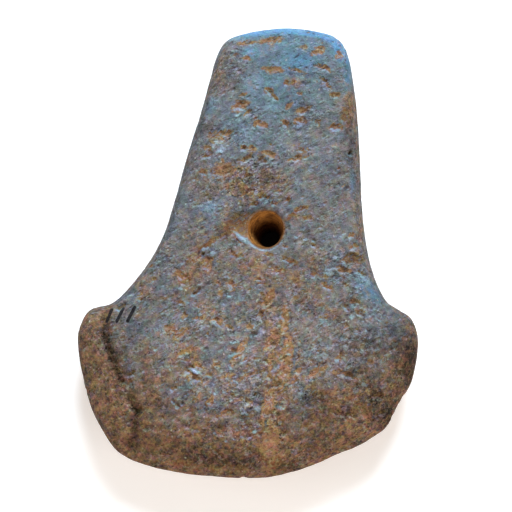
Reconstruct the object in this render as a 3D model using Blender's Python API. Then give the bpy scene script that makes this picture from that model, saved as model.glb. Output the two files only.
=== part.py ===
"""A stone spud: one ground stone with a tapering shank, a flared blade and a drilled hole.

The stone lies flat on its back. +Z points up out of its face, +Y towards the poll at the end
of the shank, and +X to the right. The origin is on the resting plane, under the middle of the
outline. The named sizes are in millimetres and degrees, and the mesh is scaled to metres last.
"""

import math

import bpy
import numpy as np
from mathutils.geometry import delaunay_2d_cdt

MM = 0.001

# Outline landmarks (x, y), clockwise as seen from above, joined by one smooth closed curve
POLL = ((6.0, 79.5), (17.0, 79.0), (26.0, 76.5), (30.0, 71.5))
RIGHT_SIDE = ((33.5, 56.0), (35.5, 40.0), (37.5, 17.0), (39.5, 3.0), (42.5, -7.5))
RIGHT_SHOULDER = ((47.0, -16.0), (51.5, -19.0), (55.5, -21.5))
RIGHT_EAR = ((58.0, -26.5), (58.5, -32.0), (57.0, -42.5))
CHIPPED_MARGIN = ((54.0, -49.0), (51.5, -54.5), (48.0, -60.0), (44.0, -63.0), (39.5, -66.0), (33.0, -69.0))
BIT = ((26.0, -72.5), (17.5, -76.0), (7.5, -78.5), (-8.5, -79.0), (-27.5, -77.5), (-42.0, -73.0))
LEFT_EAR = ((-49.0, -65.0), (-54.0, -56.0), (-57.5, -45.0), (-59.5, -35.0), (-59.0, -29.5))
LEFT_SHOULDER = ((-56.0, -24.0), (-48.0, -21.0), (-43.0, -16.0))
LEFT_SIDE = ((-36.0, -6.0), (-31.5, 3.5), (-28.5, 15.5), (-24.5, 33.5), (-21.5, 45.5), (-18.5, 59.5))
LEFT_CORNER = ((-16.5, 68.5), (-13.5, 74.0), (-7.5, 77.0))
OUTLINE = (
    POLL
    + RIGHT_SIDE
    + RIGHT_SHOULDER
    + RIGHT_EAR
    + CHIPPED_MARGIN
    + BIT
    + LEFT_EAR
    + LEFT_SHOULDER
    + LEFT_SIDE
    + LEFT_CORNER
)

# Section of the stone at stations along its length, from the bit to the poll
STATION_Y = (-79.0, -54.0, -26.0, 6.0, 50.0, 80.0)
EDGE_HALF = (2.0, 3.0, 4.8, 8.4, 8.6, 7.2)
EDGE_ROUNDING = (2.4, 3.0, 3.8, 4.6, 4.6, 5.2)
FACE_HALF = (11.4, 11.9, 12.3, 12.5, 12.0, 11.2)
FACE_BEVEL = (34.0, 30.0, 21.0, 14.0, 13.0, 15.0)
BACK_BEVEL = (30.0, 26.0, 18.0, 12.0, 11.0, 13.0)
BACK_HALF = 11.6

# The drilled hole: an hourglass that leans towards the lower right as it goes down
BORE_X = 5.0
BORE_Y = 5.2
BORE_RADIUS_X = 6.2
BORE_RADIUS_Y = 6.6
BORE_NECK = 3.4
BORE_BACK = 5.7
BORE_NECK_DEPTH = 0.55
BORE_LEAN_X = 4.0
BORE_LEAN_Y = -7.0
FLARE_POWER = 1.6
LIP_WIDTH = 2.0
LIP_DROP = 0.8
LIP_RINGS = (2.6, 1.1)

# Long low unevenness of the faces: wavelength, direction, phase, height, and its shift on the back
WAVES = (
    (47.0, 20.0, 40.0, 0.22),
    (31.0, 75.0, 150.0, 0.18),
    (23.0, 130.0, 260.0, 0.14),
    (17.0, 50.0, 10.0, 0.10),
)
BACK_WAVE_SHIFT_X = 11.0
BACK_WAVE_SHIFT_Y = -7.0

# Crease beside the left margin of the blade, steep on its outer side
CREASE_Y = (-71.8, -68.8, -65.0, -61.7, -58.8, -55.7, -50.8, -44.9, -38.9, -33.5, -24.6)
CREASE_X = (-38.1, -38.0, -36.9, -36.5, -35.8, -38.2, -40.7, -44.2, -47.0, -49.0, -49.8)
CREASE_DEPTH = 0.9
CREASE_OUTER = 0.9
CREASE_INNER = 3.4
CREASE_FADE = 5.0

# Flakes lost from the face: x, y, radius along, radius across, turn, depth
FLAKES = (
    (-2.6, 4.6, 4.0, 2.8, 75.0, 1.5),
    (51.5, -53.5, 9.0, 4.5, 65.0, 1.3),
    (45.5, -61.0, 7.5, 4.5, 50.0, 1.4),
    (37.0, -66.0, 8.0, 4.0, 25.0, 1.2),
    (29.5, -70.5, 7.0, 3.0, 25.0, 0.8),
    (56.0, -38.0, 10.0, 3.5, 80.0, 0.7),
)

# Flat ground spot on the back, which the stone rests on
REST_X = 1.0
REST_Y = -23.5
REST_RADIUS_X = 18.0
REST_RADIUS_Y = 16.5

# Fineness of the mesh
SPAN_STEPS = 32
CURVE_SAMPLES = 640
AROUND = 132
NORMAL_REACH = 2
RIM_WIDTH = 3.2
RIM_STEPS = 5
FACE_SPACING = 3.3
RIM_CLEARANCE = 1.5
LOOP_CLEARANCE = 1.65
MERGE_DISTANCE = 1e-6
BORE_AROUND = 28
BORE_STEPS = 10
REST_AROUND = 28

STONE_COLOUR = (0.20, 0.21, 0.21, 1.0)
STONE_ROUGHNESS = 0.78


def closed_curve(landmarks, count):
    """Returns count evenly spaced points of a smooth closed curve through the landmarks.

    Each span is a cubic whose end slopes run from the landmark before to the one after.
    """
    start = np.array(landmarks)
    end = np.roll(start, -1, axis=0)
    span = np.linalg.norm(end - start, axis=1)[:, None]
    slope = (end - np.roll(start, 1, axis=0)) / (span + np.roll(span, 1, axis=0))
    t = np.linspace(0, 1, SPAN_STEPS, endpoint=False)[:, None, None]
    curve = (
        (2 * t**3 - 3 * t**2 + 1) * start
        + (t**3 - 2 * t**2 + t) * span * slope
        + (3 * t**2 - 2 * t**3) * end
        + (t**3 - t**2) * span * np.roll(slope, -1, axis=0)
    )
    curve = curve.transpose(1, 0, 2).reshape(-1, 2)
    closed = np.vstack([curve, curve[:1]])
    length = np.concatenate([[0], np.cumsum(np.linalg.norm(np.diff(closed, axis=0), axis=1))])
    wanted = np.linspace(0, length[-1], count, endpoint=False)
    return np.stack([np.interp(wanted, length, closed[:, axis]) for axis in (0, 1)], axis=1)


def inward_normals(curve):
    """Returns unit vectors that point into a clockwise closed curve, averaged over neighbours."""
    along = np.roll(curve, -NORMAL_REACH, axis=0) - np.roll(curve, NORMAL_REACH, axis=0)
    normals = np.stack([along[:, 1], -along[:, 0]], axis=1)
    return normals / np.linalg.norm(normals, axis=1)[:, None]


def inward_distance(points, curve):
    """Returns a smooth distance from the curve, which is the true one near it.

    Each bit of the curve counts by the sixth power of its nearness, so that the middle of the
    stone has no ridge where two sides are equally near.
    """
    step = np.linalg.norm(curve[1] - curve[0])
    square = ((points[:, None, :] - curve[None, :, :]) ** 2).sum(axis=2)
    return (3 * math.pi / 8 / (step / square**3).sum(axis=1)) ** 0.2


def along_stone(y, values):
    """Returns the section value at each y, eased from one station to the next."""
    values = np.array(values)
    place = np.interp(y, STATION_Y, np.arange(len(values)))
    low = np.minimum(place.astype(int), len(values) - 2)
    part = place - low
    return values[low] + (values[low + 1] - values[low]) * part**2 * (3 - 2 * part)


def rounding(distance, y):
    """Returns how far the rounded edge has risen: a quarter circle from 0 at the rim to 1."""
    part = np.clip(distance / along_stone(y, EDGE_ROUNDING), 0, 1)
    return np.sqrt(1 - (1 - part) ** 2)


def bevel(distance, length):
    """Returns how far the bevel has risen: a parabola from 0 at the rim to 1 at its length."""
    return 1 - (1 - np.clip(distance / length, 0, 1)) ** 2


def ellipse_reach(x, y, centre_x, centre_y, radius_x, radius_y, turn=0.0):
    """Returns the distance from an ellipse's centre, counted in its own radii."""
    cosine, sine = math.cos(math.radians(turn)), math.sin(math.radians(turn))
    along = (x - centre_x) * cosine + (y - centre_y) * sine
    across = (y - centre_y) * cosine - (x - centre_x) * sine
    return np.hypot(along / radius_x, across / radius_y)


def unevenness(x, y):
    """Returns the sum of the long low waves."""
    height = np.zeros_like(x)
    for length, direction, phase, rise in WAVES:
        along = x * math.cos(math.radians(direction)) + y * math.sin(math.radians(direction))
        height += rise * np.sin(2 * math.pi * along / length + math.radians(phase))
    return height


def crease_depth(x, y):
    """Returns the depth of the crease, a bell curve whose outer side is the steeper one."""
    aside = x - np.interp(y, CREASE_Y, CREASE_X)
    width = np.where(aside < 0, CREASE_OUTER, CREASE_INNER)
    ends = np.minimum(y - CREASE_Y[0], CREASE_Y[-1] - y)
    return CREASE_DEPTH * np.exp(-((aside / width) ** 2)) * np.clip(ends / CREASE_FADE + 1, 0, 1)


def flake_depth(x, y):
    """Returns the depth of the lost flakes, each a smooth shallow bowl."""
    depth = np.zeros_like(x)
    for centre_x, centre_y, along, across, turn, deep in FLAKES:
        reach = ellipse_reach(x, y, centre_x, centre_y, along, across, turn)
        depth += deep * np.clip(1 - reach**2, 0, 1) ** 2
    return depth


def lip_depth(x, y, centre_x, centre_y, radius_x, radius_y):
    """Returns how far the face dips where it rounds over into the hole."""
    outside = (ellipse_reach(x, y, centre_x, centre_y, radius_x, radius_y) - 1) * radius_x
    return LIP_DROP * np.clip(1 - outside / LIP_WIDTH, 0, 1) ** 2


def face_height(points, distance):
    """Returns z on the upper face for points at an inward distance from the outline."""
    x, y = points.T
    edge = along_stone(y, EDGE_HALF)
    rise = bevel(distance, along_stone(y, FACE_BEVEL))
    form = edge + (along_stone(y, FACE_HALF) - edge) * rise + unevenness(x, y)
    lost = crease_depth(x, y) + flake_depth(x, y)
    lost += lip_depth(x, y, BORE_X, BORE_Y, BORE_RADIUS_X, BORE_RADIUS_Y)
    return BACK_HALF + (form - lost) * rounding(distance, y)


def back_centre():
    """Returns the middle of the hole's mouth on the back."""
    depth = 2 * BACK_HALF
    x = BORE_X + depth * math.tan(math.radians(BORE_LEAN_X))
    y = BORE_Y + depth * math.tan(math.radians(BORE_LEAN_Y))
    return x, y


def back_height(points, distance):
    """Returns z on the back, which is plainer, and level at zero within the flat spot."""
    x, y = points.T
    edge = along_stone(y, EDGE_HALF)
    form = edge + (BACK_HALF - edge) * bevel(distance, along_stone(y, BACK_BEVEL))
    away = np.clip(ellipse_reach(x, y, REST_X, REST_Y, REST_RADIUS_X, REST_RADIUS_Y) - 1, 0, 1)
    waves = np.abs(unevenness(y + BACK_WAVE_SHIFT_X, x + BACK_WAVE_SHIFT_Y)) * away
    dip = lip_depth(x, y, *back_centre(), BORE_BACK, BORE_BACK)
    return BACK_HALF - (form - waves - dip) * rounding(distance, y)


def ring(centre_x, centre_y, radius_x, radius_y, count):
    """Returns count points round an ellipse, counterclockwise from +X."""
    angle = np.linspace(0, 2 * math.pi, count, endpoint=False)
    return np.stack([centre_x + radius_x * np.cos(angle), centre_y + radius_y * np.sin(angle)], axis=1)


def inside(points, loops):
    """Returns which points lie inside the loops by counting the loop edges to their right."""
    start = np.concatenate(loops)
    end = np.concatenate([np.roll(loop, -1, axis=0) for loop in loops])
    x, y = points[:, :1], points[:, 1:]
    spans = (start[:, 1] > y) != (end[:, 1] > y)
    rise = np.where(end[:, 1] == start[:, 1], 1, end[:, 1] - start[:, 1])
    crossing = start[:, 0] + (y - start[:, 1]) * (end[:, 0] - start[:, 0]) / rise
    return (spans & (x < crossing)).sum(axis=1) % 2 == 1


def lattice(curve, ellipses):
    """Returns staggered points over the stone, clear of its rim and of the ellipses."""
    low, high = curve.min(axis=0), curve.max(axis=0)
    rows = np.arange(low[1], high[1], FACE_SPACING * math.sqrt(3) / 2)
    columns = np.arange(low[0], high[0], FACE_SPACING)
    x, y = np.meshgrid(columns, rows)
    x[::2] += FACE_SPACING / 2
    points = np.stack([x.ravel(), y.ravel()], axis=1)
    points = points[inside(points, [curve])]
    clear = inward_distance(points, curve) > RIM_WIDTH + RIM_CLEARANCE
    for centre_x, centre_y, radius_x, radius_y in ellipses:
        wide_x, wide_y = radius_x + LOOP_CLEARANCE, radius_y + LOOP_CLEARANCE
        clear &= ellipse_reach(*points.T, centre_x, centre_y, wide_x, wide_y) > 1
    return points[clear]


def triangulate(edge_loops, mark_loops, points):
    """Returns triangles that join the loops and the points, inside the edge loops.

    The indices run through the edge loops, then the marked loops, then the points.
    """
    loops = edge_loops + mark_loops
    corners = np.concatenate(loops + [points])
    edges = []
    first = 0
    for loop in loops:
        index = np.arange(len(loop)) + first
        edges += np.stack([index, np.roll(index, -1)], axis=1).tolist()
        first += len(loop)
    triangles = np.array(delaunay_2d_cdt(corners.tolist(), edges, [], 0, MERGE_DISTANCE)[2])
    return triangles[inside(corners[triangles].mean(axis=1), edge_loops)]


def band(rows):
    """Returns the quads between neighbouring rows of closed loops, given as an index grid."""
    upper, lower = rows[:-1], rows[1:]
    corners = [upper, lower, np.roll(lower, -1, axis=1), np.roll(upper, -1, axis=1)]
    return np.stack(corners, axis=-1).reshape(-1, 4)


def rim_rows(curve):
    """Returns the loops of the rounded edge, from the face over the rim to the back."""
    outline = closed_curve(OUTLINE, AROUND)
    inward = inward_normals(outline)
    insets = RIM_WIDTH * (1 - np.cos(np.linspace(math.pi / 2, 0, RIM_STEPS + 1)))
    rows = []
    for step in list(range(RIM_STEPS + 1)) + list(range(RIM_STEPS - 1, -1, -1)):
        points = outline + inward * insets[step]
        part = insets[step] / RIM_WIDTH
        distance = insets[step] if part == 0 else inward_distance(points, curve) * part
        distance = np.full(AROUND, insets[step] * (1 - part)) + distance
        height = face_height if len(rows) <= RIM_STEPS else back_height
        rows.append(np.column_stack([points, height(points, distance)]))
    return np.array(rows)


def bore_rows(curve):
    """Returns the loops of the hole: round its mouth in the face, down its wall, round the back one."""
    back_x, back_y = back_centre()
    mouth = ring(BORE_X, BORE_Y, BORE_RADIUS_X, BORE_RADIUS_Y, BORE_AROUND)
    back = ring(back_x, back_y, BORE_BACK, BORE_BACK, BORE_AROUND)
    top = face_height(mouth, inward_distance(mouth, curve))
    bottom = back_height(back, inward_distance(back, curve))
    rows = []
    for wider in LIP_RINGS:
        loop = ring(BORE_X, BORE_Y, BORE_RADIUS_X + wider, BORE_RADIUS_Y + wider, BORE_AROUND)
        rows.append(np.column_stack([loop, face_height(loop, inward_distance(loop, curve))]))
    for depth in np.linspace(0, 1, BORE_STEPS + 1):
        before = max(0, 1 - depth / BORE_NECK_DEPTH) ** FLARE_POWER
        after = max(0, (depth - BORE_NECK_DEPTH) / (1 - BORE_NECK_DEPTH)) ** FLARE_POWER
        grown_x = BORE_NECK + (BORE_RADIUS_X - BORE_NECK) * before + (BORE_BACK - BORE_NECK) * after
        grown_y = BORE_NECK + (BORE_RADIUS_Y - BORE_NECK) * before + (BORE_BACK - BORE_NECK) * after
        centre_x = BORE_X + (back_x - BORE_X) * depth
        centre_y = BORE_Y + (back_y - BORE_Y) * depth
        loop = ring(centre_x, centre_y, grown_x, grown_y, BORE_AROUND)
        rows.append(np.column_stack([loop, top + (bottom - top) * depth]))
    for wider in reversed(LIP_RINGS):
        loop = ring(back_x, back_y, BORE_BACK + wider, BORE_BACK + wider, BORE_AROUND)
        rows.append(np.column_stack([loop, back_height(loop, inward_distance(loop, curve))]))
    return np.array(rows)


def stone_mesh():
    """Returns the stone's vertices and faces: rim, hole wall, face and back, sharing their loops."""
    curve = closed_curve(OUTLINE, CURVE_SAMPLES)
    rim = rim_rows(curve)
    bore = bore_rows(curve)
    rest = ring(REST_X, REST_Y, REST_RADIUS_X, REST_RADIUS_Y, REST_AROUND)
    wider = LIP_RINGS[0]
    face = lattice(curve, [(BORE_X, BORE_Y, BORE_RADIUS_X + wider, BORE_RADIUS_Y + wider)])
    back_mouth = (*back_centre(), BORE_BACK + wider, BORE_BACK + wider)
    back = lattice(curve, [back_mouth, (REST_X, REST_Y, REST_RADIUS_X, REST_RADIUS_Y)])
    back = np.concatenate([rest, back])

    rim_index = np.arange(rim.shape[0] * AROUND).reshape(-1, AROUND)
    bore_index = np.arange(bore.shape[0] * BORE_AROUND).reshape(-1, BORE_AROUND) + rim_index.size
    face_index = np.arange(len(face)) + rim_index.size + bore_index.size
    back_index = np.arange(len(back)) + rim_index.size + bore_index.size + len(face)
    vertices = np.concatenate(
        [
            rim.reshape(-1, 3),
            bore.reshape(-1, 3),
            np.column_stack([face, face_height(face, inward_distance(face, curve))]),
            np.column_stack([back, back_height(back, inward_distance(back, curve))]),
        ]
    )

    upper = triangulate([rim[0, :, :2], bore[0, :, :2]], [], face)
    upper = np.concatenate([rim_index[0], bore_index[0], face_index])[upper]
    lower = triangulate([rim[-1, :, :2], bore[-1, :, :2]], [rest], back[REST_AROUND:])
    lower = np.concatenate([rim_index[-1], bore_index[-1], back_index])[lower]
    faces = band(rim_index)[:, ::-1].tolist() + band(bore_index)[:, ::-1].tolist()
    faces += upper.tolist() + lower[:, ::-1].tolist()
    return vertices, faces


def stone_material():
    """Returns the plain grey-blue finish of the stone."""
    material = bpy.data.materials.new("stone")
    material.use_nodes = True
    shader = material.node_tree.nodes["Principled BSDF"]
    shader.inputs["Base Color"].default_value = STONE_COLOUR
    shader.inputs["Roughness"].default_value = STONE_ROUGHNESS
    shader.inputs["Metallic"].default_value = 0.0
    return material


def build_stone():
    """Makes the stone's object with the origin under the middle of its outline."""
    vertices, faces = stone_mesh()
    low, high = vertices.min(axis=0), vertices.max(axis=0)
    middle = (low + high) / 2
    vertices = (vertices - (middle[0], middle[1], low[2])) * MM
    mesh = bpy.data.meshes.new("stone_spud")
    mesh.from_pydata(vertices.tolist(), [], faces)
    mesh.materials.append(stone_material())
    mesh.shade_smooth()
    stone = bpy.data.objects.new("stone_spud", mesh)
    bpy.context.scene.collection.objects.link(stone)
    return stone


for old in list(bpy.data.objects):
    bpy.data.objects.remove(old)
build_stone()
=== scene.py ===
"""Dresses the stone spud: one pecked and ground stone, weathered and stained with soil.

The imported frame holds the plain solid. Here the same outline, section and drilled hole are worked
out again more finely, pits, flakes and drill rings are cut into the surface, and the stone gets
its grey-blue rock, ochre soil and brown tinge. The shape is drawn in millimetres and degrees, with
+Z out of the face and +Y towards the poll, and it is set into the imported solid's box at the end.
"""

import logging
import math
from collections.abc import Callable
from dataclasses import dataclass, fields
from enum import Enum
from typing import Any, Generic, Self, TypeVar

import bpy
import numpy as np
from mathutils import Matrix, Vector
from mathutils.geometry import delaunay_2d_cdt


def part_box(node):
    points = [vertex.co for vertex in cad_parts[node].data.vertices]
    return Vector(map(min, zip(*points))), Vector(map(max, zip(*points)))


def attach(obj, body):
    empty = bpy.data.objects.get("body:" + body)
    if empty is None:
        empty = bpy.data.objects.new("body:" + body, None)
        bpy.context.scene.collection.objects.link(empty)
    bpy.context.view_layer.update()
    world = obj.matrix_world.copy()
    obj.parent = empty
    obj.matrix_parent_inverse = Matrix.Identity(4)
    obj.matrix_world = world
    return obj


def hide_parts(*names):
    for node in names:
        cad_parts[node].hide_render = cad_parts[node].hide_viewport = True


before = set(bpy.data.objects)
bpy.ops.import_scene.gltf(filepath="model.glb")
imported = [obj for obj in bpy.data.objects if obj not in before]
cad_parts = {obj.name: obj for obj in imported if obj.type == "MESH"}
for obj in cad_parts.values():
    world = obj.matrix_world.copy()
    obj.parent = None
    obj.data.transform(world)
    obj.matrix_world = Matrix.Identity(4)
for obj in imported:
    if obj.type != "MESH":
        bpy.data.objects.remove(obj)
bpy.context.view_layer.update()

NODE = "stone_spud"
MM = 0.001
Point = tuple[float, float]
Triple = tuple[float, float, float]
Colour = tuple[float, float, float, float]
Height = Callable[[np.ndarray, np.ndarray], np.ndarray]
Value = TypeVar("Value")
log = logging.getLogger("stone_spud")


def random_numbers(cells: np.ndarray, seed: int, count: int) -> np.ndarray:
    """Gives each whole-numbered cell its own numbers from 0 to 1, the same in each run.

    The cell's three numbers are multiplied by large primes and mixed into one. Each number drawn
    from it folds its upper bits into its lower ones and multiplies, twice.

    Args:
        cells: whole numbers, with the three of a cell along the last axis.
        seed: picks one set of numbers from another.
        count: how many numbers each cell gets.

    Returns:
        The numbers, with count of them along the last axis.
    """
    primes = np.array([73856093, 19349663, 83492791], dtype=np.uint64)
    mask = np.uint64(0xFFFFFFFF)
    key = np.bitwise_xor.reduce(cells.astype(np.int64).astype(np.uint64) * primes, axis=-1)
    key = (key + np.uint64(seed * 2654435761)) & mask
    numbers = np.empty(key.shape + (count,))
    for index in range(count):
        key = (((key >> np.uint64(16)) ^ key) * np.uint64(0x45D9F3B)) & mask
        key = (((key >> np.uint64(13)) ^ key) * np.uint64(0x119DE1F3)) & mask
        numbers[..., index] = ((key >> np.uint64(16)) ^ key) / 2.0**32
    return numbers


def soft_noise(points: np.ndarray, seed: int) -> np.ndarray:
    """Smooth noise of about -1 to 1 that varies over a distance of about one unit.

    Each corner of a lattice has a random slope through zero, and the eight slopes around a point
    are blended by how near their corners are.

    Args:
        points: places, with x, y and z along the last axis.
        seed: picks one pattern from another.

    Returns:
        One number for each point.
    """
    base = np.floor(points)
    part = points - base
    blend = part**3 * (part * (6 * part - 15) + 10)
    total = np.zeros(len(points))
    for corner in np.ndindex(2, 2, 2):
        slope = random_numbers(base + corner, seed, 3) * 2 - 1
        weight = np.where(corner, blend, 1 - blend).prod(axis=1)
        total += weight * ((part - corner) * slope).sum(axis=1)
    return total * 1.8


def layered_noise(points: np.ndarray, layers: int, seed: int, keep: float = 0.5) -> np.ndarray:
    """Sums layers of soft noise, each twice as fine as the last and keep times as strong.

    Args:
        points: places in units of the coarsest layer.
        layers: how many layers.
        seed: picks one pattern from another.
        keep: strength of a layer as a share of the one before.

    Returns:
        One number for each point, still about -1 to 1.
    """
    total = sum(keep**layer * soft_noise(points * 2.0**layer, seed + layer) for layer in range(layers))
    return total / sum(keep**layer for layer in range(layers))


def ease(value: np.ndarray, low: float = 0.0, high: float = 1.0) -> np.ndarray:
    """Rises smoothly from 0 where value is low to 1 where it is high, level at both ends."""
    part = np.clip((value - low) / (high - low), 0, 1)
    return part**2 * (3 - 2 * part)


def scattered_bowls(
    points: np.ndarray, share: np.ndarray, sizes: Point, seed: int
) -> tuple[np.ndarray, np.ndarray]:
    """Steep-walled bowls scattered at random, at most one to each unit cell.

    A cell's bowl has a random centre and radius. Its depth is its radius times an eased rise from
    its wall inwards, and where bowls meet, the deepest counts.

    Args:
        points: places in units of one cell.
        share: the share of cells that hold a bowl, for each point.
        sizes: the least and greatest radius, in cells.
        seed: picks one scatter from another.

    Returns:
        The depth at each point, in cells, and a number from 0 to 1 that is the bowl's own.
    """
    base = np.floor(points)
    deepest, tone = np.zeros(len(points)), np.zeros(len(points))
    for step in np.ndindex(3, 3, 3):
        cell = base + (np.array(step) - 1)
        numbers = random_numbers(cell, seed, 6)
        radius = sizes[0] + (sizes[1] - sizes[0]) * numbers[:, 3] ** 2
        reach = np.linalg.norm(points - cell - numbers[:, :3], axis=1) / radius
        there = np.clip((share - numbers[:, 4]) * 8, 0, 1)
        depth = ease(1 - reach, 0.0, 0.6) * radius * there
        tone = np.where(depth > deepest, numbers[:, 5], tone)
        deepest = np.maximum(deepest, depth)
    return deepest, tone


def ellipse_reach(
    x: np.ndarray, y: np.ndarray, centre: Point, radii: Point, turn: float = 0.0
) -> np.ndarray:
    """The distance from an ellipse's centre, counted in its own radii.

    Args:
        x: places across.
        y: places along.
        centre: the ellipse's middle.
        radii: its first and second radius.
        turn: how far its first radius is turned from +X, in degrees.

    Returns:
        0 at the centre and 1 on the ellipse.
    """
    cosine, sine = math.cos(math.radians(turn)), math.sin(math.radians(turn))
    along = (x - centre[0]) * cosine + (y - centre[1]) * sine
    across = (y - centre[1]) * cosine - (x - centre[0]) * sine
    return np.hypot(along / radii[0], across / radii[1])


def ring(centre: Point, radii: Point, count: int) -> np.ndarray:
    """Count points round an ellipse, counterclockwise from +X."""
    angle = np.linspace(0, 2 * math.pi, count, endpoint=False)
    return np.stack([centre[0] + radii[0] * np.cos(angle), centre[1] + radii[1] * np.sin(angle)], axis=1)


@dataclass(frozen=True)
class Outline:
    """The stone's edge as seen from above, clockwise from the poll."""

    poll: tuple[Point, ...] = ((6.0, 79.5), (17.0, 79.0), (26.0, 76.5), (30.0, 71.5))
    right_side: tuple[Point, ...] = ((33.5, 56.0), (35.5, 40.0), (37.5, 17.0), (39.5, 3.0), (42.5, -7.5))
    right_shoulder: tuple[Point, ...] = ((47.0, -16.0), (51.5, -19.0), (55.5, -21.5))
    right_ear: tuple[Point, ...] = ((58.0, -26.5), (58.5, -32.0), (57.0, -42.5))
    chipped_margin: tuple[Point, ...] = (
        (54.0, -49.0), (51.5, -54.5), (48.0, -60.0), (44.0, -63.0), (39.5, -66.0), (33.0, -69.0),
    )
    bit: tuple[Point, ...] = (
        (26.0, -72.5), (17.5, -76.0), (7.5, -78.5), (-8.5, -79.0), (-27.5, -77.5), (-42.0, -73.0),
    )
    left_ear: tuple[Point, ...] = (
        (-49.0, -65.0), (-54.0, -56.0), (-57.5, -45.0), (-59.5, -35.0), (-59.0, -29.5),
    )
    left_shoulder: tuple[Point, ...] = ((-56.0, -24.0), (-48.0, -21.0), (-43.0, -16.0))
    left_side: tuple[Point, ...] = (
        (-36.0, -6.0), (-31.5, 3.5), (-28.5, 15.5), (-24.5, 33.5), (-21.5, 45.5), (-18.5, 59.5),
    )
    left_corner: tuple[Point, ...] = ((-16.5, 68.5), (-13.5, 74.0), (-7.5, 77.0))

    def landmarks(self) -> np.ndarray:
        """All landmarks in order round the stone.

        Returns:
            Their x and y.
        """
        right = self.poll + self.right_side + self.right_shoulder + self.right_ear
        left = self.left_ear + self.left_shoulder + self.left_side + self.left_corner
        return np.array(right + self.chipped_margin + self.bit + left)

    def curve(self, count: int) -> np.ndarray:
        """Evenly spaced points of the smooth closed curve through the landmarks.

        Each span is a cubic whose end slopes run from the landmark before to the one after.

        Args:
            count: how many points.

        Returns:
            The points' x and y.
        """
        start = self.landmarks()
        end = np.roll(start, -1, axis=0)
        span = np.linalg.norm(end - start, axis=1)[:, None]
        slope = (end - np.roll(start, 1, axis=0)) / (span + np.roll(span, 1, axis=0))
        t = np.linspace(0, 1, 32, endpoint=False)[:, None, None]
        curve = (
            (2 * t**3 - 3 * t**2 + 1) * start
            + (t**3 - 2 * t**2 + t) * span * slope
            + (3 * t**2 - 2 * t**3) * end
            + (t**3 - t**2) * span * np.roll(slope, -1, axis=0)
        )
        curve = curve.transpose(1, 0, 2).reshape(-1, 2)
        closed = np.vstack([curve, curve[:1]])
        length = np.concatenate([[0], np.cumsum(np.linalg.norm(np.diff(closed, axis=0), axis=1))])
        wanted = np.linspace(0, length[-1], count, endpoint=False)
        return np.stack([np.interp(wanted, length, closed[:, axis]) for axis in (0, 1)], axis=1)


@dataclass(frozen=True)
class Section:
    """The stone's thickness at stations along its length, from the bit to the poll."""

    station_y: tuple[float, ...] = (-79.0, -54.0, -26.0, 6.0, 50.0, 80.0)
    edge_half: tuple[float, ...] = (2.0, 3.0, 4.8, 8.4, 8.6, 7.2)
    edge_rounding: tuple[float, ...] = (2.4, 3.0, 3.8, 4.6, 4.6, 5.2)
    face_half: tuple[float, ...] = (11.4, 11.9, 12.3, 12.5, 12.0, 11.2)
    face_bevel: tuple[float, ...] = (34.0, 30.0, 21.0, 14.0, 13.0, 15.0)
    back_bevel: tuple[float, ...] = (30.0, 26.0, 18.0, 12.0, 11.0, 13.0)
    back_half: float = 11.6

    def at(self, y: np.ndarray, values: tuple[float, ...]) -> np.ndarray:
        """The value at each y, eased from one station to the next.

        Args:
            y: places along the stone.
            values: one value for each station.

        Returns:
            One value for each y.
        """
        values = np.array(values)
        place = np.interp(y, self.station_y, np.arange(len(values)))
        low = np.minimum(place.astype(int), len(values) - 2)
        return values[low] + (values[low + 1] - values[low]) * ease(place - low)

    def rounding(self, distance: np.ndarray, y: np.ndarray) -> np.ndarray:
        """How far the rounded edge has risen: a quarter circle from 0 at the rim to 1."""
        part = np.clip(distance / self.at(y, self.edge_rounding), 0, 1)
        return np.sqrt(1 - (1 - part) ** 2)

    def bevelled(
        self, distance: np.ndarray, y: np.ndarray, full: np.ndarray, bevel: tuple[float, ...]
    ) -> np.ndarray:
        """The half thickness: a parabola from the edge's half thickness up to the full one.

        Args:
            distance: inward distance from the outline.
            y: place along the stone.
            full: the half thickness past the bevel.
            bevel: the bevel's length at each station.

        Returns:
            The half thickness before the edge is rounded.
        """
        edge = self.at(y, self.edge_half)
        rise = 1 - (1 - np.clip(distance / self.at(y, bevel), 0, 1)) ** 2
        return edge + (full - edge) * rise


@dataclass(frozen=True)
class Bore:
    """The drilled hole: an hourglass that leans towards the lower right as it goes down."""

    centre: Point = (5.0, 5.2)
    radii: Point = (6.2, 6.6)
    neck: float = 3.4
    back_radius: float = 5.7
    neck_depth: float = 0.55
    lean_x: float = 4.0
    lean_y: float = -7.0
    lip_width: float = 2.0
    lip_drop: float = 0.8
    flare_power: float = 1.6

    def back_centre(self, thickness: float) -> Point:
        """The middle of the mouth on the back, below a stone of that thickness."""
        x = self.centre[0] + thickness * math.tan(math.radians(self.lean_x))
        return x, self.centre[1] + thickness * math.tan(math.radians(self.lean_y))

    def lip(self, x: np.ndarray, y: np.ndarray, centre: Point, radii: Point) -> np.ndarray:
        """How far the surface dips where it rounds over into the hole: a parabola over the lip."""
        outside = (ellipse_reach(x, y, centre, radii) - 1) * radii[0]
        return self.lip_drop * np.clip(1 - outside / self.lip_width, 0, 1) ** 2

    def loop(self, depth: float, back_centre: Point, count: int) -> np.ndarray:
        """One level ring of the wall.

        The radius falls from the mouth's to the neck's by a power of what is left of the way to
        the neck, and grows again to the back's.

        Args:
            depth: the share of the way down, from 0 at the face to 1 at the back.
            back_centre: the middle of the mouth on the back.
            count: how many points the ring has.

        Returns:
            The ring's x and y.
        """
        before = max(0.0, 1 - depth / self.neck_depth) ** self.flare_power
        after = max(0.0, (depth - self.neck_depth) / (1 - self.neck_depth)) ** self.flare_power
        grown = (self.back_radius - self.neck) * after + self.neck
        radii = tuple(grown + (radius - self.neck) * before for radius in self.radii)
        centre = tuple(a + (b - a) * depth for a, b in zip(self.centre, back_centre))
        return ring(centre, radii, count)


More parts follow.
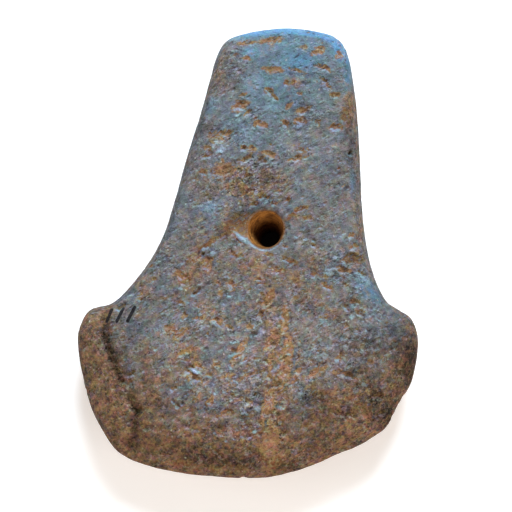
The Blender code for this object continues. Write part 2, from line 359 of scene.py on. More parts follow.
@dataclass(frozen=True)
class Spot:
    """An ellipse on the face: its middle, radii, and the turn of its first radius in degrees."""

    centre: Point
    radii: Point
    turn: float

    @classmethod
    def rows(cls, *rows: tuple[float, ...]) -> tuple[Self, ...]:
        """Makes one from each row: x, y, both radii, the turn, and then what the class adds."""
        return tuple(cls((x, y), (first, second), *rest) for x, y, first, second, *rest in rows)

    def reach(self, x: np.ndarray, y: np.ndarray) -> np.ndarray:
        """The distance from its middle, counted in its own radii."""
        return ellipse_reach(x, y, self.centre, self.radii, self.turn)


@dataclass(frozen=True)
class Flake(Spot):
    """A shallow bowl where stone was lost, with its depth."""

    depth: float


@dataclass(frozen=True)
class Form:
    """The stone's smooth form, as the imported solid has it."""

    outline: Outline = Outline()
    section: Section = Section()
    bore: Bore = Bore()
    waves: tuple[tuple[float, float, float, float], ...] = (
        (47.0, 20.0, 40.0, 0.22), (31.0, 75.0, 150.0, 0.18),
        (23.0, 130.0, 260.0, 0.14), (17.0, 50.0, 10.0, 0.10),
    )
    crease_y: tuple[float, ...] = (
        -71.8, -68.8, -65.0, -61.7, -58.8, -55.7, -50.8, -44.9, -38.9, -33.5, -24.6,
    )
    crease_x: tuple[float, ...] = (
        -38.1, -38.0, -36.9, -36.5, -35.8, -38.2, -40.7, -44.2, -47.0, -49.0, -49.8,
    )
    crease_depth: float = 0.9
    crease_outer: float = 0.9
    crease_inner: float = 3.4
    crease_fade: float = 5.0
    flakes: tuple[Flake, ...] = Flake.rows(
        (-2.6, 4.6, 4, 2.8, 75, 1.5), (51.5, -53.5, 9, 4.5, 65, 1.3), (45.5, -61, 7.5, 4.5, 50, 1.4),
        (37, -66, 8, 4, 25, 1.2), (29.5, -70.5, 7, 3, 25, 0.8), (56, -38, 10, 3.5, 80, 0.7),
    )
    rest_centre: Point = (1.0, -23.5)
    rest_radii: Point = (18.0, 16.5)

    def back_mouth(self) -> Point:
        """The middle of the hole's mouth on the back."""
        return self.bore.back_centre(2 * self.section.back_half)

    def inward_distance(self, points: np.ndarray, curve: np.ndarray) -> np.ndarray:
        """A smooth distance from the outline, which is the true one near it.

        Each bit of the outline counts by the sixth power of its nearness, so that the middle of
        the stone has no ridge where two sides are equally near.

        Args:
            points: places inside the outline.
            curve: evenly spaced points of the outline.

        Returns:
            One distance for each point.
        """
        step = np.linalg.norm(curve[1] - curve[0])
        sums = np.empty(len(points))
        for first in range(0, len(points), 4096):
            some = points[first : first + 4096]
            square = (some[:, :1] - curve[:, 0]) ** 2 + (some[:, 1:] - curve[:, 1]) ** 2
            sums[first : first + 4096] = (step / square**3).sum(axis=1)
        return (3 * math.pi / 8 / sums) ** 0.2

    def unevenness(self, x: np.ndarray, y: np.ndarray) -> np.ndarray:
        """The sum of the long low waves, each a sine along its own direction.

        Args:
            x, y: places on the stone.

        Returns:
            A height for each.
        """
        height = np.zeros_like(x)
        for length, direction, phase, rise in self.waves:
            along = x * math.cos(math.radians(direction)) + y * math.sin(math.radians(direction))
            height += rise * np.sin(2 * math.pi * along / length + math.radians(phase))
        return height

    def crease(self, x: np.ndarray, y: np.ndarray) -> np.ndarray:
        """The crease beside the left margin, a bell curve whose outer side is the steeper one.

        Args:
            x, y: places on the stone.

        Returns:
            A depth for each.
        """
        aside = x - np.interp(y, self.crease_y, self.crease_x)
        width = np.where(aside < 0, self.crease_outer, self.crease_inner)
        ends = np.minimum(y - self.crease_y[0], self.crease_y[-1] - y) / self.crease_fade
        return self.crease_depth * np.exp(-((aside / width) ** 2)) * np.clip(ends + 1, 0, 1)

    def lost(self, x: np.ndarray, y: np.ndarray) -> np.ndarray:
        """The depth of the lost flakes.

        Args:
            x, y: places on the stone.

        Returns:
            A depth for each.
        """
        depth = np.zeros_like(x)
        for flake in self.flakes:
            depth += flake.depth * np.clip(1 - flake.reach(x, y) ** 2, 0, 1) ** 2
        return depth

    def face_height(self, points: np.ndarray, distance: np.ndarray) -> np.ndarray:
        """z on the upper face for points at an inward distance from the outline.

        Args:
            points: x and y.
            distance: how far in each lies.

        Returns:
            One z for each point.
        """
        x, y = points.T
        section = self.section
        form = section.bevelled(distance, y, section.at(y, section.face_half), section.face_bevel)
        form += self.unevenness(x, y) - self.crease(x, y) - self.lost(x, y)
        form -= self.bore.lip(x, y, self.bore.centre, self.bore.radii)
        return section.back_half + form * section.rounding(distance, y)

    def back_height(self, points: np.ndarray, distance: np.ndarray) -> np.ndarray:
        """z on the back, which is plainer, and level at zero within the flat spot.

        Args:
            points: x and y.
            distance: how far in each lies.

        Returns:
            One z for each point.
        """
        x, y = points.T
        section = self.section
        form = section.bevelled(distance, y, section.back_half, section.back_bevel)
        away = np.clip(ellipse_reach(x, y, self.rest_centre, self.rest_radii) - 1, 0, 1)
        radius = self.bore.back_radius
        form -= np.abs(self.unevenness(y + 11.0, x - 7.0)) * away
        form -= self.bore.lip(x, y, self.back_mouth(), (radius, radius))
        return section.back_half - form * section.rounding(distance, y)


@dataclass
class Surface:
    """A closed mesh as whole arrays: its vertices, triangles, and which vertices line the hole."""

    vertices: np.ndarray
    triangles: np.ndarray
    wall: np.ndarray

    def normals(self) -> np.ndarray:
        """Unit vertex normals: the sum of the cross products of the triangles at each vertex.

        Returns:
            One normal for each vertex.
        """
        a, b, c = self.vertices[self.triangles].transpose(1, 0, 2)
        cross = np.cross(b - a, c - a)
        total = np.stack([self.gathered(np.repeat(cross[:, axis], 3)) for axis in range(3)], axis=1)
        return total / np.linalg.norm(total, axis=1)[:, None]

    def gathered(self, corner_values: np.ndarray) -> np.ndarray:
        """Sums one value for each triangle corner at the corner's vertex."""
        return np.bincount(self.triangles.ravel(), corner_values, minlength=len(self.vertices))

    def smoothed(self, values: np.ndarray, rounds: int) -> np.ndarray:
        """Averages a value at each vertex with its neighbours', as many times as rounds says.

        Args:
            values: one for each vertex.
            rounds: how many times.

        Returns:
            The new values.
        """
        count = self.gathered(np.full(self.triangles.size, 2.0))
        for _ in range(rounds):
            at = values[self.triangles]
            others = at.sum(axis=1, keepdims=True) - at
            values = 0.5 * values + 0.5 * self.gathered(others.ravel()) / count
        return values


@dataclass(frozen=True)
class Mesher:
    """Lays a fine mesh over the form: rim, hole wall, face and back, which share their loops."""

    form: Form = Form()
    curve_samples: int = 960
    around: int = 740
    rim_width: float = 3.2
    rim_steps: int = 12
    normal_reach: float = 7.1
    face_spacing: float = 0.52
    back_spacing: float = 0.95
    bore_around: int = 84
    bore_steps: int = 44
    lip_rings: tuple[float, ...] = (2.6, 2.1, 1.6, 1.2, 0.8, 0.4)
    jitter: float = 0.16
    seed: int = 5

    def rim(self, curve: np.ndarray) -> np.ndarray:
        """The loops of the rounded edge, from the face over the rim to the back.

        The rounding's quarter circle is carried along the outline: each loop is the outline moved
        inwards, with the height that the face or the back has there.

        Args:
            curve: evenly spaced points of the outline.

        Returns:
            Loops by points by x, y and z.
        """
        outline = self.form.outline.curve(self.around)
        reach = round(self.normal_reach / np.linalg.norm(outline[1] - outline[0]))
        along = np.roll(outline, -reach, axis=0) - np.roll(outline, reach, axis=0)
        inward = np.stack([along[:, 1], -along[:, 0]], axis=1)
        inward /= np.linalg.norm(inward, axis=1)[:, None]
        insets = self.rim_width * (1 - np.cos(np.linspace(math.pi / 2, 0, self.rim_steps + 1)))
        sides = [(inset, self.form.face_height) for inset in insets]
        sides += [(inset, self.form.back_height) for inset in insets[-2::-1]]
        loops = []
        for inset, height in sides:
            points = outline + inward * inset
            part = inset / self.rim_width
            distance = np.full(self.around, inset * (1 - part))
            if part > 0:
                distance += self.form.inward_distance(points, curve) * part
            loops.append(np.column_stack([points, height(points, distance)]))
        return np.array(loops)

    def bore(self, curve: np.ndarray) -> np.ndarray:
        """The loops of the hole: round its mouth in the face, down its wall, round the back one.

        Args:
            curve: evenly spaced points of the outline.

        Returns:
            Loops by points by x, y and z.
        """
        form, bore, count = self.form, self.form.bore, self.bore_around
        back_centre = form.back_mouth()
        back_radii = (bore.back_radius, bore.back_radius)

        def round_mouth(centre: Point, radii: Point, wider: float, height: Height) -> np.ndarray:
            """One loop on the surface, wider than the mouth."""
            loop = ring(centre, (radii[0] + wider, radii[1] + wider), count)
            return self.raised(loop, curve, height)

        top = round_mouth(bore.centre, bore.radii, 0.0, form.face_height)[:, 2]
        bottom = round_mouth(back_centre, back_radii, 0.0, form.back_height)[:, 2]
        rings = self.lip_rings
        loops = [round_mouth(bore.centre, bore.radii, wider, form.face_height) for wider in rings]
        for depth in np.linspace(0, 1, self.bore_steps + 1):
            loop = bore.loop(depth, back_centre, count)
            loops.append(np.column_stack([loop, top + (bottom - top) * depth]))
        loops += [round_mouth(back_centre, back_radii, wider, form.back_height) for wider in rings[::-1]]
        return np.array(loops)

    def raised(self, points: np.ndarray, curve: np.ndarray, height: Height) -> np.ndarray:
        """The points with the z that the face or the back has there."""
        return np.column_stack([points, height(points, self.form.inward_distance(points, curve))])

    def lattice(self, curve: np.ndarray, spacing: float, centre: Point, radii: Point) -> np.ndarray:
        """Staggered points over the stone, shaken a little, clear of its rim and of the hole.

        Args:
            curve: evenly spaced points of the outline.
            spacing: the distance between points.
            centre: the hole's middle on this side.
            radii: the radii of the last loop round the hole.

        Returns:
            The points' x and y.
        """
        low, high = curve.min(axis=0), curve.max(axis=0)
        rows = np.arange(low[1], high[1], spacing * math.sqrt(3) / 2)
        columns = np.arange(low[0], high[0], spacing)
        x, y = np.meshgrid(columns, rows)
        x[::2] += spacing / 2
        points = np.stack([x.ravel(), y.ravel()], axis=1)
        shake = np.random.default_rng(self.seed)
        points += shake.uniform(-self.jitter, self.jitter, points.shape) * spacing
        points = points[inside(points, curve[::4])]
        clear = self.form.inward_distance(points, curve) > self.rim_width + spacing * 0.5
        wide = (radii[0] + spacing * 0.5, radii[1] + spacing * 0.5)
        return points[clear & (ellipse_reach(*points.T, centre, wide) > 1)]

    def fill(self, edge: np.ndarray, hole: np.ndarray, points: np.ndarray, index: np.ndarray) -> np.ndarray:
        """Triangles that join the edge loop, the hole loop and the points between them.

        Args:
            edge: the outer loop's x and y.
            hole: the hole loop's x and y, counterclockwise.
            points: the points between them.
            index: the vertex number of each of these, in that order.

        Returns:
            Triangles of vertex numbers, counterclockwise from above.
        """
        corners = np.concatenate([edge, hole, points])
        edges = []
        for first, count in ((0, len(edge)), (len(edge), len(hole))):
            run = np.arange(count) + first
            edges += np.stack([run, np.roll(run, -1)], axis=1).tolist()
        triangles = np.array(delaunay_2d_cdt(corners.tolist(), edges, [], 1, 1e-6)[2])
        in_hole = ((triangles >= len(edge)) & (triangles < len(edge) + len(hole))).all(axis=1)
        return index[triangles[~in_hole]]

    def build(self) -> Surface:
        """Joins rim, hole, face and back into one closed mesh of triangles.

        Returns:
            The smooth stone.
        """
        curve = self.form.outline.curve(self.curve_samples)
        rim, bore = self.rim(curve), self.bore(curve)
        wider = self.lip_rings[0]
        radii = tuple(radius + wider for radius in self.form.bore.radii)
        back_radii = (self.form.bore.back_radius + wider,) * 2
        face = self.lattice(curve, self.face_spacing, self.form.bore.centre, radii)
        back = self.lattice(curve, self.back_spacing, self.form.back_mouth(), back_radii)
        rows = [
            rim.reshape(-1, 3),
            bore.reshape(-1, 3),
            self.raised(face, curve, self.form.face_height),
            self.raised(back, curve, self.form.back_height),
        ]
        starts = np.cumsum([0] + [len(row) for row in rows])
        numbers = [np.arange(first, last) for first, last in zip(starts, starts[1:])]
        rim_index = numbers[0].reshape(rim.shape[:2])
        bore_index = numbers[1].reshape(bore.shape[:2])
        sides = []
        for loop, points, index in ((0, face, numbers[2]), (-1, back, numbers[3])):
            corners = np.concatenate([rim_index[loop], bore_index[loop], index])
            sides.append(self.fill(rim[loop, :, :2], bore[loop, :, :2], points, corners))
        triangles = np.concatenate([band(rim_index), band(bore_index), sides[0], sides[1][:, ::-1]])
        wall = np.zeros(starts[-1])
        rings = len(self.lip_rings)
        wall[bore_index[rings : len(bore) - rings].ravel()] = 1.0
        return Surface(np.concatenate(rows), triangles, wall)


def band(rows: np.ndarray) -> np.ndarray:
    """The triangles between neighbouring closed loops, facing away from the stone.

    Args:
        rows: vertex numbers, loops by points.

    Returns:
        Two triangles for each cell of the grid.
    """
    a, b = rows[:-1], rows[1:]
    c, d = np.roll(b, -1, axis=1), np.roll(a, -1, axis=1)
    halves = [np.stack(corners, axis=-1).reshape(-1, 3) for corners in ((d, c, b), (d, b, a))]
    return np.concatenate(halves)


def inside(points: np.ndarray, loop: np.ndarray) -> np.ndarray:
    """Which points lie inside a closed loop: those with an odd number of its edges to their right.

    Args:
        points: x and y.
        loop: the loop's corners, in order.

    Returns:
        True for each point inside.
    """
    end = np.roll(loop, -1, axis=0)
    rise = np.where(end[:, 1] == loop[:, 1], 1, end[:, 1] - loop[:, 1])
    found = np.empty(len(points), dtype=bool)
    for first in range(0, len(points), 8192):
        x, y = points[first : first + 8192, :1], points[first : first + 8192, 1:]
        spans = (loop[:, 1] > y) != (end[:, 1] > y)
        crossing = loop[:, 0] + (y - loop[:, 1]) * (end[:, 0] - loop[:, 0]) / rise
        found[first : first + 8192] = (spans & (x < crossing)).sum(axis=1) % 2 == 1
    return found


@dataclass(frozen=True)
class Scar(Spot):
    """A listed pit, with its depth and how full of soil it is."""

    depth: float
    soil: float


@dataclass(frozen=True)
class Patch(Spot):
    """A soft-edged spot where something is stronger, or weaker if its strength is below 0."""

    strength: float


def patched(patches: tuple[Patch, ...], x: np.ndarray, y: np.ndarray) -> np.ndarray:
    """The sum of the patches' strengths, each eased from its middle to nothing at its edge."""
    return sum(patch.strength * ease(1 - patch.reach(x, y)) for patch in patches)


@dataclass(frozen=True)
class Marks(Generic[Value]):
    """What each vertex of the pecked stone carries for its finish. Tone, cool and pale carry painted light
    and shade besides the stone's own colour.

    Hollow, lean and tone are above or below 0, and the others are 0 or more. The values are
    arrays where the marks are made, and signals where the finish reads them.
    """

    pecked: Value
    soil: Value
    hollow: Value
    lean: Value
    brown: Value
    # tone: painted light and shade, partly the stone's own tone
    tone: Value
    # pale: pale flakes, and painted highlights on ridges and the hole's lower lip
    pale: Value
    # cool: partly the stone's own blue and partly painted cool light, most on the poll's edge
    cool: Value
    wall: Value


@dataclass(frozen=True)
class Wear:
    """Pecking, pits, scars and drill rings, cut into the smooth surface along its normals.

    The scars and patches are placed on the face, in millimetres. Pecking crowds in the dense patches,
    washes are browner, blue patches bluer with partly painted cool light, tone patches lighter or darker
    with partly painted light and shade, pale flakes paler, and ridges and some pale patches get painted
    highlights. A strand of the vein is given from its top down, each point by its y, its x and the strand's
    half width there.
    """

    form: Form = Form()
    drift_turn: float = 38.0
    drift_stretch: float = 1.7
    seed: int = 11
    peck_size: float = 2.3
    peck_depth: float = 0.36
    bowl_cell: float = 3.9
    bowl_depth: float = 0.52
    pinhole_cell: float = 2.0
    pinhole_depth: float = 0.50
    even_loss: float = 0.16
    swell_height: float = 0.13
    ragged_scars: float = 1.1
    ragged_ridges: float = 0.9
    ridge_height: float = 1.9
    bite_depth: float = 1.3
    ring_depth: float = 0.09
    groove_depth: float = 0.2
    groove_outer: float = 0.8
    groove_inner: float = 2.2
    groove_shares: tuple[float, ...] = (0.3, 0.1, 0.3, 0.5, 0.6, 0.4, 0.2, 0.5, 1.0, 1.0, 0.5)
    valley_shares: tuple[float, ...] = (0.3, 0.7, 0.6, 0.9, 1.0, 0.7, 0.3, 0.6, 1.0, 0.9, 0.2)
    vein: tuple[tuple[Triple, ...], ...] = (
        ((-16.5, 8.5, 1.0), (-19.5, 7.5, 1.4), (-22.5, 6.0, 1.0)),
        (
            (-26.5, 13.5, 1.0), (-32.0, 13.5, 0.9), (-39.0, 14.5, 1.2), (-44.5, 12.5, 1.3),
            (-50.5, 10.0, 1.5), (-57.0, 7.5, 1.5), (-62.5, 6.5, 1.3), (-69.0, 8.0, 2.4), (-74.0, 9.5, 2.4),
        ),
        ((-27.5, 13.0, 1.0), (-31.5, 10.5, 1.2), (-36.5, 9.0, 1.4), (-41.0, 9.0, 1.0)),
    )
    dense: tuple[Patch, ...] = Patch.rows(
        (-2, 22, 24, 14, 10, 0.8), (2, -36, 50, 34, 0, 0.45), (-12, 34, 14, 12, 0, 0.3),
        (14, 46, 12, 10, 0, 0.3), (6, -52, 32, 18, 0, 0.35), (8, 67, 26, 14, 0, -0.3),
        (36, -36, 24, 26, 0, 0.4), (42, -52, 18, 16, -30, 0.3), (-42, -50, 18, 28, 15, 0.25),
        (0, -66, 42, 14, 0, 0.25), (-13, 60, 7, 14, -12, 0.25), (30, -6, 16, 12, -20, 0.35),
        (-12, -4, 14, 12, 30, 0.3),
    )
    scars: tuple[Scar, ...] = Scar.rows(
        (3.3, 72.5, 3.3, 1.3, 14, 0.4, 1.05), (-5, 71, 3.1, 0.9, 8, 0.3, 0.9),
        (15, 70, 1.3, 0.9, 20, 0.35, 0.6), (20.6, 69.8, 1.6, 0.8, 10, 0.35, 0.8),
        (19.5, 68, 2.1, 1.1, 15, 0.5, 1.05), (27.2, 68.3, 1.2, 1.5, 0, 0.45, 0.8),
        (21, 63, 2.2, 0.9, -10, 0.35, 0.8), (4.2, 61.2, 3.1, 1.2, 0, 0.35, 1.1),
        (13, 61, 1.8, 0.7, -15, 0.3, 0.8), (-5, 65, 1.6, 0.7, 0, 0.25, 0.8),
        (-8.5, 66.6, 1.3, 0.7, 0, 0.25, 0.7), (23.5, 62, 1.4, 0.8, -45, 0.4, 0.8),
        (23, 57, 2.3, 1, -50, 0.5, 0.9), (9.5, 56.5, 1.2, 1, 0, 0.5, 0.7),
        (26.5, 53, 1.5, 1, 20, 0.45, 0.9), (3.9, 53.2, 1.4, 1.5, 0, 0.5, 0.9),
        (5.9, 51.2, 1.8, 0.7, -45, 0.4, 0.8), (12, 56.7, 1, 0.8, 0, 0.45, 0.7),
        (-5.2, 51.7, 1.3, 0.8, 10, 0.4, 0.8), (14.5, 53, 1, 0.7, 20, 0.4, 0.7),
        (-6, 48, 2.7, 1.6, 25, 0.55, 1), (15.5, 47, 2.4, 1.3, 25, 0.5, 1),
        (11, 48.5, 1.4, 0.8, 35, 0.4, 0.9), (15.5, 43.4, 2, 1.1, 10, 0.6, 1.15),
        (10, 42.3, 1.4, 1.2, -30, 0.5, 0.9), (1.5, 41.6, 2.1, 0.9, -25, 0.45, 1.1),
        (21, 43, 1.1, 1.3, 0, 0.45, 0.8), (27, 41.5, 2.3, 1.4, 5, 0.6, 0.95),
        (30.5, 45.5, 1.6, 2.8, 5, 0.35, 0.8), (-12.3, 36.7, 3.4, 2.1, 20, 0.4, 0.9),
        (-10.2, 37.8, 1.5, 1.2, 0, 0.65, 1.1), (-16.3, 33.1, 1, 0.9, 0, 0.4, 0.9),
        (-3.8, 33.1, 1.1, 0.8, 0, 0.45, 1), (15.7, 33.1, 1.2, 0.9, 10, 0.45, 0.95),
        (2.6, 28.7, 2, 1.1, 0, 0.5, 0.4), (-7, 25.5, 1.2, 0.9, 0, 0.4, 1.1),
        (-0.9, 32.5, 1.2, 1.3, -20, 0.45, 0.95), (4.6, 31.3, 2.2, 1, -12, 0.55, 1.05),
        (14.3, 30.1, 1.9, 1, 25, 0.6, 1.15), (-11, 24.5, 3.6, 2.4, 15, 0.5, 0.95),
        (-17.5, 24, 1.7, 1.3, 0, 0.35, 0.95), (32.5, 33, 0.8, 0.8, 0, 0.9, 0.3),
        (3, 16.5, 1.5, 0.9, 40, 0.5, 0.9), (7.5, 14.2, 1.6, 1, 30, 0.5, 0.9),
        (11.5, 15.5, 1.3, 0.8, 45, 0.5, 0.8), (8.5, 18.5, 1.2, 0.8, 30, 0.5, 0.9),
        (0.5, 13.5, 1.4, 0.8, 20, 0.5, 0.8), (16.5, 12.6, 2.4, 0.9, 25, 0.45, 0.9),
        (13.8, 10.2, 1.8, 0.9, 40, 0.4, 0.9), (19.5, 9.6, 1.6, 0.8, -10, 0.35, 1),
        (18.9, 4, 0.9, 2.2, -20, 0.4, 0), (21.4, 2.1, 0.7, 0.6, 0, 0.6, 0),
        (21.5, 0.2, 1.1, 0.7, 10, 0.7, 0.5), (35.2, 0.8, 1.6, 0.8, 25, 0.45, 0.8),
        (35.5, -3.6, 3.6, 2, 15, 0.6, 0.75), (38, -8.3, 2, 0.7, -30, 0.45, 0.4),
        (30.6, -6.4, 1.6, 0.8, 20, 0.6, 0.1), (13.5, -5.5, 2.6, 1.3, -15, 0.4, 0.9),
        (7, -3.9, 1.4, 0.7, 10, 0.35, 0.8), (3.6, -12, 2.2, 0.5, 15, 0.4, 0.6),
        (4.5, -13.6, 1.8, 0.5, 10, 0.35, 0.8), (22, -9.6, 1.3, 0.7, 10, 0.35, 0.8),
        (26, -13.2, 0.9, 1.1, 0, 0.4, 0.9), (27.6, -14.2, 1, 0.8, 0, 0.4, 0.9),
        (36.5, -18.2, 1.5, 1, 20, 0.55, 0.4), (33.5, -20, 1.6, 1, -10, 0.5, 0.4),
        (38.5, -21.5, 2, 0.9, -15, 0.5, 0.5), (26, -24, 1.8, 0.8, 10, 0.4, 0.8),
        (4.6, -17, 1, 0.8, 0, 0.4, 0.9), (-4.5, 7, 4.6, 2.4, 28, 0.45, 0.9),
        (-3.2, 4.8, 2.6, 3.8, 10, 0.2, 1), (-13, 0, 7, 1.2, 36, 0.4, 0.75),
        (-18.5, -5.5, 3, 1.6, 30, 0.35, 0.85), (-14.2, -7.6, 1.6, 2.4, -15, 0.4, 1),
        (-22.6, -12.2, 2.2, 1.5, -20, 0.45, 1), (-5.6, -3.6, 1.7, 0.9, -20, 0.45, 0.9),
        (-3.6, -4.6, 1.6, 0.8, 30, 0.5, 0.7), (-10.2, -14, 1.2, 0.9, -20, 0.4, 0.9),
        (-9.4, -17.6, 1, 1.2, 0, 0.35, 0.9), (-22.5, -21, 1.3, 0.7, 0, 0.4, 0.8),
        (-20.8, -25.4, 0.9, 1.1, 0, 0.5, 0.3), (9.8, -8.9, 1.8, 1.1, 0, 0.5, 1),
        (24.5, -10, 1.6, 0.9, 0, 0.4, 0.9), (32, -7.7, 2.4, 1.2, 0, 0.8, 1),
        (-5.6, -14.3, 1.3, 1.8, 10, 0.5, 1), (-21.5, -14, 1.6, 1.3, 20, 0.5, 0.9),
        (-16, -4.5, 0.9, 0.7, 20, 0.9, 0.2), (7.3, -17.8, 3, 1, 68, 0.35, 0.9),
        (6.5, -20.3, 1.8, 1.5, 50, 0.55, 1), (13, -25.5, 1.2, 3.8, 0, 0.35, 1.2),
        (10, -30.5, 1.8, 1.6, 0, 0.4, 0.9), (9, -33.5, 1.7, 3.6, -10, 0.45, 1.1),
        (15, -35, 1.2, 4.4, 6, 0.35, 1.2), (13.8, -42, 1.7, 4.4, -12, 0.45, 1.3),
        (10.3, -51, 7, 1.7, 67, 0.35, 1.3), (10.3, -66.5, 2.4, 4.8, 0, 0.3, 1.35),
        (11.5, -72, 2, 3.2, 0, 0.2, 0.9), (-16.5, -26, 1.8, 0.8, 10, 0.35, 0.8),
        (-10.2, -26.7, 1.7, 1.2, 0, 0.6, 1.1), (1.3, -28.5, 1.2, 0.9, 0, 0.45, 0.95),
        (-5.5, -28.5, 1.6, 0.9, -30, 0.4, 0.8), (-25, -30, 2.6, 1.6, -10, 0.3, 0.8),
        (-21.5, -31.5, 2.6, 1.6, 40, 0.45, 0.9), (-20, -37.8, 3, 1, 32, 0.65, 1.1),
        (-15, -42, 1.8, 0.9, -15, 0.45, 1), (-9, -41.6, 1.3, 0.8, 10, 0.5, 1),
        (-11, -45, 1.4, 1, 0, 0.4, 0.9), (7, -39.5, 1.2, 1, 0, 0.6, 0.2), (4, -50.6, 1.3, 0.9, 0, 0.6, 0.2),
        (8.7, -52, 0.9, 0.7, 0, 0.7, 0.1), (0.5, -58.7, 1, 0.6, 0, 0.8, 0.1),
        (18.3, -42.4, 1, 1.4, 0, 0.3, 0.95), (-16.2, -46.3, 2.8, 1.3, -10, 0.65, 1.1),
        (-1.8, -37, 4.4, 1.1, 63, 0.65, 1.1), (-5, -45, 1.9, 1.1, 20, 0.4, 0.9),
        (2, -44.5, 2.7, 0.9, 22, 0.4, 0.9), (-10.7, -53.7, 1.8, 0.8, 59, 0.6, 1.15),
        (-5, -57.5, 2.2, 1.2, 35, 0.5, 0.95), (24.5, -42.4, 2.7, 1.4, 40, 0.45, 1.05),
        (34.2, -42.8, 3.5, 1.1, -15, 0.7, 1.15), (36, -50.5, 1.3, 1.1, 0, 0.4, 0.9),
        (41, -54.8, 3.4, 1.4, -62, 0.45, 1.1), (42.5, -38.5, 0.9, 1.2, 0, 0.4, 0.9),
        (-21.5, -55.7, 0.9, 0.8, 0, 0.6, 0.1), (-20, -54.6, 0.7, 0.6, 0, 0.8, 0.1),
        (-23, -54.6, 0.6, 0.7, 0, 0.8, 0.1), (34, -56, 5, 0.8, -8, 0.5, 0.2),
        (-8, -70.5, 5.5, 0.5, -42, 0.4, 0.3), (-13.5, -72.5, 2.6, 0.5, -50, 0.4, 0.2),
        (-5, -74.3, 3, 0.5, -45, 0.4, 0.2), (-3, -76, 6, 1.3, 3, 0.15, 1),
        (-18, -75.3, 4.5, 1.1, -8, 0.15, 1), (38, -64.8, 3.2, 0.7, 35, 0.4, 0.2),
        (18.5, -73, 6, 0.6, 15, 0.35, 0.3),
    )
    ridges: tuple[Patch, ...] = Patch.rows(
        (18, 5.6, 2.6, 0.8, 40, 0.3), (15.6, 2.4, 2.6, 0.8, 30, 0.3), (12.2, 9.6, 2, 1, 15, 0.25),
        (28.6, -3.9, 2.8, 0.9, 8, 0.35), (32.3, -5.9, 3.2, 0.8, -48, 0.4), (35.5, -8.6, 2.4, 0.8, -35, 0.3),
        (33.5, -1.4, 3.6, 0.7, 18, 0.3), (35.2, -12.8, 2.6, 0.7, -15, 0.25), (40, -11, 3.4, 1.2, -25, 0.25),
        (-3.2, 1.7, 3.9, 1.3, -38, 0.36), (-12.5, -4.3, 1.8, 1.3, 20, 0.3),
        (-13.5, -12.2, 2.6, 0.55, 38, 0.25), (-17, -15.8, 3.4, 0.55, 50, 0.25),
        (-20, -21.5, 3.4, 0.55, 65, 0.25), (-8, -12.1, 2.2, 0.6, 10, 0.3), (-6, -18.6, 1.9, 0.8, 10, 0.35),
        (-23.8, -8.6, 2, 1, 15, 0.3), (-23.5, -17, 2.2, 0.9, 10, 0.3), (-10, -28.4, 2.5, 0.6, -13, 0.3),
        (-16.5, -43.9, 3.8, 0.9, -20, 0.3), (-3.8, -33.9, 3.5, 0.7, 17, 0.25),
        (1, -57.4, 2.5, 0.6, -14, 0.3), (22.4, -35.9, 3.2, 0.6, 27, 0.3), (29.8, -23.9, 1.9, 0.5, -30, 0.3),
        (44, -34, 2.3, 0.6, 40, 0.3), (46.5, -40.9, 1.9, 0.5, -25, 0.25), (31.3, -45.8, 1.3, 0.5, 50, 0.25),
        (40.6, -59.3, 1.5, 0.4, -60, 0.25), (14.6, 40.9, 2.2, 0.6, 20, 0.3),
        (14.2, 28.6, 2.1, 0.5, 20, 0.3), (-7, 44.3, 2.2, 0.5, 10, 0.25), (-13, 12.8, 5, 2.6, 8, 0.18),
        (-7.2, 12.4, 2.4, 1.2, -5, 0.16), (-18.5, 11, 3.4, 2, 20, 0.18),
    )
